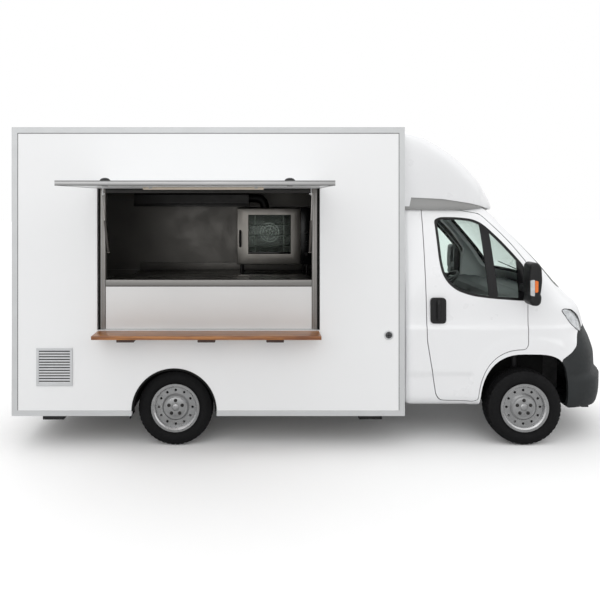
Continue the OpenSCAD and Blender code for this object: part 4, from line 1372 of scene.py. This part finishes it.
def build_shelf():
    """The board and its three brackets."""
    plates = []
    low, high = local_box("shelf_brackets")
    width = 144
    for x in (low.x, BOX_MID - width / 2, high.x - width):
        z = SHELF_LOW.z
        end = x + width
        plates.append(bar((x, SHELF_LOW.y + 6, z - 22), (end, SHELF_HIGH.y - 1, z - 0.3), 5))
        plates.append(bar((x + 40, SHELF_HIGH.y - 16, low.z), (end - 40, SHELF_HIGH.y, z - 8), 4))
    group("shelf_bracket_plates", plates, BRACKET, stands_for="shelf_brackets")
    plate("shelf_board", SHELF_LOW, SHELF_HIGH, 3.5, WOOD, segments=4, stands_for="shelf")


def build_serving_frame():
    """Posts, a dark head behind the hatch, the sill strip and the struts' lower pins."""
    low, high = FRAME_LOW, FRAME_HIGH
    post_w = 44
    posts = []
    for s, x in ((1, low.x), (-1, high.x)):
        a, b = sorted((x, x + s * post_w))
        posts.append(bar((a, low.y, low.z), (b, low.y + 50, high.z), 3))
    tube_low, tube_high = local_box("strut_cylinders")
    pin_z = tube_low.z + 9
    pin_y = tube_high.y - 9
    for s, x in ((1, low.x + post_w), (-1, high.x - post_w)):
        posts.append(tube("part", [(x - s, pin_y, pin_z), (x + s * 28, pin_y, pin_z)], 5, 16))
    group("serving_posts", posts, POST, stands_for="serving_frame")
    plate(
        "serving_head", (low.x + post_w, low.y + 2, high.z - 39), (high.x - post_w, low.y + 49, high.z - 1),
        3, DARK_STEEL,
    )
    plate(
        "serving_sill", (low.x + post_w, low.y, low.z), (high.x - post_w, low.y + 50, low.z + 4), 1,
        ALUMINIUM,
    )


# --- Kitchen ---------------------------------------------------------------


def build_oven():
    """Door with its window, racks and fan, control panel, handle, feet and duct."""
    low, high = local_box("oven")
    unit_top = local_box("kitchen_unit")[1].z
    x1 = high.x
    x0 = x1 - 774
    y = low.y
    body_low = 1439
    body_top = body_low + 586
    split = x1 - 111
    plate(
        "oven_case", (x0, y, body_low), (x1, high.y, body_top), 6, OVEN_STEEL,
        stands_for="oven",
    )
    feet = []
    gap = body_low - unit_top
    section = [(0, 0), (22, 0), (22, 8), (13, 14), (13, gap), (0, gap)]
    for fx in (x0 + 48, x1 - 48):
        for fy in (y + 48, high.y - 48):
            feet.append(turned("part", section, (fx, fy, unit_top), (0, 0, 1), 24))
    group("oven_feet", feet, DARK_STEEL)
    duct_x = x0 + 293
    duct_y = y + 350
    bend = 96
    rise = body_top + 103
    end_x = local_box("extraction_hood")[1].x
    route = [(duct_x, duct_y, body_top - 2), (duct_x, duct_y, rise - bend)]
    for k in range(1, 10):
        a = math.radians(10 * k)
        route.append((duct_x - bend * (1 - math.cos(a)), duct_y, rise - bend + bend * math.sin(a)))
    route.append((end_x, duct_y, rise))
    finish_piece(tube("oven_duct", route, 45, 28), BLACK)
    door = rounded_slab("oven_door", (x0 + 4, y - 22, body_low + 6), (split - 4, y - 2, body_top - 6), 5)
    cut_by(door, slab((x0 + 118, y - 60, body_low + 110), (split - 104, y + 10, body_top - 70)))
    finish_piece(door, OVEN_STEEL)
    plate(
        "oven_cavity", (x0 + 116, y - 3, body_low + 108), (split - 102, y + 1, body_top - 68), 1, CAVITY,
        segments=2,
    )
    middle = ((x0 + 118 + split - 104) / 2, y - 6, (body_low + 110 + body_top - 70) / 2 + 20)
    fan = []
    for r in (34, 68, 96):
        hoop = [(r - 2.5, -1), (r - 2.5, 3), (r + 2.5, 3), (r + 2.5, -1)]
        fan.append(turned("part", hoop, middle, (0, -1, 0), 48))
    for k in range(6):
        a = math.radians(60 * k + 15)
        tip = (middle[0] + 92 * math.cos(a), middle[1], middle[2] + 92 * math.sin(a))
        fan.append(tube("part", [middle, tip], 3.5, 6))
    group("oven_fan", fan, STEEL)
    racks = []
    for z in (body_low + 190, body_low + 300, body_low + 410):
        racks.append(tube("part", [(x0 + 124, y - 9, z), (split - 110, y - 9, z)], 3, 6))
    for x in (x0 + 190, split - 176):
        racks.append(tube("part", [(x, y - 8, body_low + 120), (x, y - 8, body_top - 80)], 2.5, 6))
    group("oven_racks", racks, STEEL)
    plate(
        "oven_glass", (x0 + 112, y - 16, body_low + 104), (split - 98, y - 13, body_top - 64), 1, GLASS,
        segments=2,
    )
    plate(
        "oven_lower_glass_bar", (x0 + 116, y - 19, body_low + 106), (split - 102, y - 17, body_low + 130),
        0.8, GLOSS_BLACK, segments=2,
    )
    plate(
        "oven_controls", (split, y - 14, body_low + 2), (x1 - 1, y, body_top - 2), 4, GLOSS_BLACK,
    )
    knobs = []
    section = [(0, 22), (14, 21), (18, 17), (20, 0), (0, 0)]
    for z in (body_low + 110, body_low + 220, body_low + 330):
        knobs.append(turned("part", section, (split + 55, y - 14, z), (0, -1, 0), 32))
    group("oven_knobs", knobs, BLACK)
    handle = tube(
        "oven_handle",
        [
            (x0 + 36, y - 22, body_low + 190), (x0 + 36, y - 52, body_low + 205),
            (x0 + 34, y - 58, body_low + 240), (x0 + 34, y - 58, body_low + 300),
            (x0 + 36, y - 52, body_low + 335), (x0 + 36, y - 22, body_low + 350),
        ],
        12, 14,
    )
    finish_piece(handle, BLACK)


def build_kitchen_fittings():
    """Worktop edge, upstand, hood rim and unit doors."""
    low, high = local_box("kitchen_unit")
    plate(
        "worktop_edge", (low.x - 2, low.y - 6, high.z - 38), (high.x - 1, low.y + 4, high.z + 2), 4,
        WORKTOP, segments=4,
    )
    plate(
        "worktop_upstand", (low.x, high.y - 16, high.z), (high.x - 1, high.y - 3, high.z + 90), 4,
        INNER_STEEL, segments=3,
    )
    hood_low, hood_high = local_box("extraction_hood")
    plate(
        "hood_rim", (hood_low.x - 3, hood_low.y - 5, hood_low.z - 3),
        (hood_high.x + 3, hood_low.y + 3, hood_low.z + 26), 4, DARK_STEEL, segments=3,
    )
    drawers = []
    count = 5
    pitch = (high.x - low.x - 60) / count
    for k in range(count):
        x = low.x + 30 + pitch * k
        drawers.append(
            bar((x + 6, low.y - 9, FLOOR_TOP + 130), (x + pitch - 6, low.y - 0.5, high.z - 60), 4, 3),
        )
    group("unit_doors", drawers, STEEL)


# --- Cab fittings ----------------------------------------------------------


def build_mirror(side):
    """Rounded housing with a lower pod, its arm, and a clear and an amber lamp."""
    name = SIDE_NAME[side]
    body = name + "_door"
    low, high = local_box(name + "_mirror")
    y_in = CAB_HALF + 62
    y_out = max(abs(low.y), abs(high.y))
    outline = filleted(
        [
            (-54, 1268), (-34, 1236), (16, 1232), (42, 1256), (48, 1308), (38, 1330), (44, 1352),
            (54, 1440), (48, 1552), (24, 1588), (-24, 1592), (-48, 1570), (-58, 1440), (-56, 1350),
            (-46, 1328),
        ],
        26, 4,
    )
    a, b = outward(side, y_in, y_out - 1)
    housing = prism_y(outline, a, b, name + "_mirror_housing")
    soften(housing, 24, 5, 40)
    finish_piece(housing, BLACK, body, 40, stands_for=name + "_mirror")
    a, b = outward(side, CAB_HALF - 40, y_in + 15)
    foot = filleted([(-48, 1328), (2, 1328), (2, 1392), (-48, 1392)], 16, 4)
    arm = prism_y(foot, a, b, name + "_mirror_arm")
    finish_piece(arm, BLACK, body)
    face = side * (y_out - 1)
    a, b = sorted((face - side * 6, face + side * 1.0))
    lenses = (
        ("clear", CLEAR_LENS, [(-50, 1322), (-16, 1316), (-16, 1452), (-50, 1448)]),
        ("amber", AMBER, [(-14, 1345), (12, 1350), (14, 1440), (-14, 1446)]),
    )
    for tint, material, face_outline in lenses:
        lens = prism_y(filleted(face_outline, 8, 3), a, b, name + "_mirror_lamp_" + tint)
        finish_piece(lens, material, body)


def build_handles():
    """Recessed black door handles."""
    for side in SIDES:
        name = SIDE_NAME[side]
        base = CAB_HALF - 4
        x0, x1 = -814, -681
        a, b = outward(side, base - 30, base + 5)
        tray = prism_y(filleted([(x0, 1051), (x1, 1051), (x1, 1271), (x0, 1271)], 34, 5), a, b, "part")
        middle = FRONT_X + (x0 + x1) / 2
        grip = [(1, 1085), (17, 1100), (19, 1225), (1, 1248)]
        pull = tube("part", [(middle, side * (base + out), z) for out, z in grip], 15, 12)
        finish_piece(join(name + "_door_handle", tray, pull), BLACK, name + "_door")


def on_surface(obj, y, z):
    """Where a ray from ahead of the truck meets a piece, in mm from the centreline."""
    start = place((FRONT_X + 2000, y, z))
    hit, point = obj.ray_cast(start, Vector((-1, 0, 0)))[:2]
    return Vector((point.x / MM, point.y / MM - CENTRE_Y, point.z / MM)) if hit else None


def build_wipers():
    """Two plain blades, parked low on the windscreen."""
    pane = bpy.data.objects["windscreen_pane"]
    parts = []
    for root, tip in ((-330, -30), (300, 640)):
        path = []
        for k in range(9):
            t = k / 8
            y = root + (tip - root) * t
            p = on_surface(pane, y, 1368 + 60 * t)
            if p:
                path.append(p + Vector((12, 0, 10)))
        parts.append(tube("part", path, 5, 8))
    group("wipers", parts, BLACK)


def build_front_details():
    """Grilles behind the bumper's openings, the upper grille and a blank plate."""
    backing = shell("bumper_grille_backing", -30, -36)
    face = [(-620, 400), (620, 400), (620, 770), (-620, 770)]
    within(backing, prism_x(face, FRONT_X + 560, FRONT_X + NOSE))
    finish_piece(backing, SEAL)
    slats = []
    for z in (436, 460, 484, 508, 656, 680, 704, 728):
        slats.append(slab((FRONT_X + 560, -575, z), (FRONT_X + NOSE + 50, 575, z + 9)))
    bars = within(shell("bumper_grille_bars", -10, -28), join("tool", *slats))
    finish_piece(bars, BLACK)
    face = filleted([(-430, 1012), (430, 1012), (415, 1062), (-415, 1062)], 18, 4)
    upper = within(shell("upper_grille", 1.5, -12), prism_x(face, FRONT_X + 500, FRONT_X + NOSE))
    finish_piece(upper, BLACK)
    middle = on_surface(bpy.data.objects["bumper_moulding"], 0, 590)
    x = middle.x
    plate("front_plate_holder", (x - 30, -268, 536), (x + 4, 268, 656), 4, BLACK)
    plate("front_plate", (x + 3.5, -260, 542), (x + 6, 260, 650), 1.2, PLATE)


def build_rear_details():
    """Lamps in three colours, a blank plate, the door's window and handle, and a seal round it."""
    low, high = local_box("rear_lamps")
    base = []
    red = []
    amber = []
    clear = []
    for side in SIDES:
        a, b = outward(side, BOX_HALF - 230, BOX_HALF - 90)
        base.append(bar((BOX_BACK - 4, a - 4, low.z - 4), (BOX_BACK, b + 4, high.z + 4), 2))
        red.append(bar((BOX_BACK - 12, a, 480), (BOX_BACK - 4, b, 660), 4))
        amber.append(bar((BOX_BACK - 12, a, 664), (BOX_BACK - 4, b, 780), 4))
        clear.append(bar((BOX_BACK - 12, a, 784), (BOX_BACK - 4, b, 900), 4))
        m0, m1 = outward(side, BOX_HALF - 160, BOX_HALF - 70)
        red.append(bar((BOX_BACK - 11, m0, BOX_TOP - 110), (BOX_BACK - 3.2, m1, BOX_TOP - 76), 3))
    group("rear_lamp_red", red, RED, stands_for="rear_lamps")
    group("rear_lamp_bases", base, BLACK)
    group("rear_lamp_amber", amber, AMBER)
    group("rear_lamp_clear", clear, CLEAR_LENS)
    plate("rear_plate", (BOX_BACK - 7, -830, 500), (BOX_BACK - 4, -430, 610), 1.2, PLATE)
    plate("rear_plate_holder", (BOX_BACK - 5, -838, 492), (BOX_BACK, -422, 618), 2, BLACK)
    door_low = local_box("rear_door")[0]
    z0 = door_low.z + 1250
    plate(
        "rear_door_window", (BOX_BACK + 1.5, -189, z0 + 1), (BOX_BACK + 6, 189, z0 + 419), 1.5, GLOSS_BLACK,
        body="entry_door",
    )
    seal = []
    for a, b, c, d in ((-196, -184, z0 - 6, z0 + 426), (184, 196, z0 - 6, z0 + 426)):
        seal.append(bar((BOX_BACK - 3, a, c), (BOX_BACK + 2, b, d), 2))
    for c in (z0 - 6, z0 + 414):
        seal.append(bar((BOX_BACK - 3, -196, c), (BOX_BACK + 2, 196, c + 12), 2))
    group("rear_window_seal", seal, SEAL, "entry_door")
    knob_z = door_low.z + 950
    handle = tube(
        "rear_door_handle",
        [
            (BOX_BACK - 12, 285, knob_z + 20), (BOX_BACK - 46, 285, knob_z + 28),
            (BOX_BACK - 52, 285, knob_z + 50), (BOX_BACK - 52, 285, knob_z + 112),
            (BOX_BACK - 46, 285, knob_z + 132), (BOX_BACK - 12, 285, knob_z + 140),
        ],
        9, 12,
    )
    finish_piece(handle, BLACK, "entry_door")
    trims = []
    w = 384
    top = door_low.z + 1900 + 10
    for a, b in ((-w, -w + 14), (w - 14, w)):
        trims.append(bar((BOX_BACK - 3, a, door_low.z - 12), (BOX_BACK, b, top + 14), 1.2))
    trims.append(bar((BOX_BACK - 3, -w, top), (BOX_BACK, w, top + 14), 1.2))
    group("rear_door_surround", trims, TRIM)


def pad(name, low, high, squareness=5, crown=10, channels=(), tilt=0.0, pivot=None):
    """A stuffed cushion: a crowned closed form whose sides pull in, with sewn channels across Y."""
    form = bmesh.new()
    bmesh.ops.create_cube(form, size=2)
    bmesh.ops.subdivide_edges(form, edges=form.edges, cuts=26, use_grid_fill=True)
    low = Vector(low)
    high = Vector(high)
    middle = (low + high) / 2
    half = (high - low) / 2
    turn = Matrix.Rotation(math.radians(tilt), 3, "Y")
    pivot = Vector(pivot) if pivot else middle
    for vert in form.verts:
        c = vert.co
        size = sum(abs(v) ** squareness for v in c) ** (1 / squareness)
        p = Vector((c.x / size * half.x, c.y / size * half.y, c.z / size * half.z))
        thin = min(range(3), key=lambda i: half[i])
        flat = [1 - c[i] ** 2 for i in range(3) if i != thin]
        swell = crown * flat[0] * flat[1]
        p[thin] += (math.copysign(swell, c[thin]) - math.copysign(crown * 0.5, c[thin])) * abs(c[thin])
        for i in range(3):
            if i != thin:
                p[i] -= math.copysign(5, c[i]) * abs(c[i]) ** 3 * (1 - c[3 - thin - i] ** 2)
        for at in channels:
            dip = 7 * math.exp(-(((p.y - at) / 9) ** 2))
            p[thin] -= math.copysign(dip, c[thin]) * abs(c[thin])
        vert.co = place(turn @ (p + middle - pivot) + pivot)
    mesh = bpy.data.meshes.new(name)
    form.to_mesh(mesh)
    form.free()
    obj = bpy.data.objects.new(name, mesh)
    bpy.context.scene.collection.objects.link(obj)
    finish_piece(obj, CLOTH, "truck", 80)
    return obj


def build_seats():
    """Cushion, back and head rest of each seat, and the head rest's two posts."""
    z = local_box("seats")[0].z
    base = FRONT_X - 280
    seams = (-110, 110)
    for side in SIDES:
        name = SIDE_NAME[side]
        y = side * 430
        y0 = y - 238
        y1 = y + 238
        cushion = pad(name + "_seat_cushion", (base - 500, y0, z + 1), (base, y1, z + 122), 5, 16, seams)
        low, high = (base - 600, y0 + 6, z + 60), (base - 495, y1 - 6, z + 668)
        pad(name + "_seat_back", low, high, 5, 14, seams, -8, (base - 545, y, z + 60))
        low, high = (base - 665, y - 126, z + 682), (base - 588, y + 126, z + 896)
        pad(name + "_head_rest", low, high, 3.2, 8)
        if side == RIGHT:
            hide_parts("seats")
        posts = []
        for at in (y - 60, y + 60):
            posts.append(tube("part", [(base - 628, at, z + 640), (base - 628, at, z + 700)], 6, 10))
        group(name + "_head_rest_posts", posts, CHROME)


def build_door_cards():
    """Moulded inner panels of the cab doors."""
    skin = shell("door_card_skin", -SKIN - 0.5, -SKIN - 22)
    for side in SIDES:
        name = SIDE_NAME[side]
        card = within(copy_of(skin, name + "_door_card"), side_tool(grown(DOOR_OUTLINE, -16), side))
        cut_by(card, side_tool(grown(WINDOW_OUTLINE, 6), side, 400))
        finish_piece(card, CABIN, name + "_door")
    discard(skin)


def carried_over():
    """Better materials on the CAD nodes that stay."""
    table = {
        "chassis_frame": CHASSIS, "engine_block": CASTING, "exhaust": GALVANISED, "fuel_tank": BLACK,
        "battery_box": BLACK, "corner_steadies": CHASSIS, "rear_axle": CHASSIS, "front_suspension": CHASSIS,
        "right_knuckle": CASTING, "left_knuckle": CASTING, "front_right_rim": RIM_PAINTED_SHADE, "front_left_rim": RIM_PAINTED_SHADE,
        "rear_right_rim": RIM_PAINTED_SHADE, "rear_left_rim": RIM_PAINTED_SHADE, "dashboard": CABIN, "steering_wheel": BLACK,
        "seat_bases": CHASSIS, "box_floor": FLOOR_BOARD, "box_roof": PANEL, "box_right_wall": PANEL,
        "box_left_wall": PANEL, "box_front_wall": PANEL, "box_rear_wall": PANEL, "rear_door": PANEL,
        "box_trim": TRIM, "serving_hatch": PANEL, "strut_cylinders": STRUT, "strut_rods": CHROME,
        "serving_counter": WORKTOP, "kitchen_unit": WORKTOP, "extraction_hood": DARK_STEEL,
    }
    for node, material in table.items():
        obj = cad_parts[node]
        for k in range(max(len(obj.material_slots), 1)):
            if obj.material_slots:
                obj.material_slots[k].material = material
            else:
                obj.data.materials.append(material)


def build():
    build_camera()
    build_world()
    build_lights()
    build_floor()
    carried_over()
    build_cab_shell()
    build_cab_inside()
    build_door_windows()
    build_windscreen()
    build_headlights()
    build_fairing()
    build_wheels()
    build_box_edges()
    build_vent_grille()
    build_inlet_cap()
    build_arch_and_flaps()
    build_box_inside()
    build_hatch()
    build_serving_opening()
    build_serving_frame()
    build_shelf()
    build_oven()
    build_kitchen_fittings()
    for side in SIDES:
        build_mirror(side)
    build_handles()
    build_wipers()
    build_front_details()
    build_rear_details()
    build_seats()
    build_door_cards()


build()
bpy.context.scene.view_settings.view_transform = "Standard"
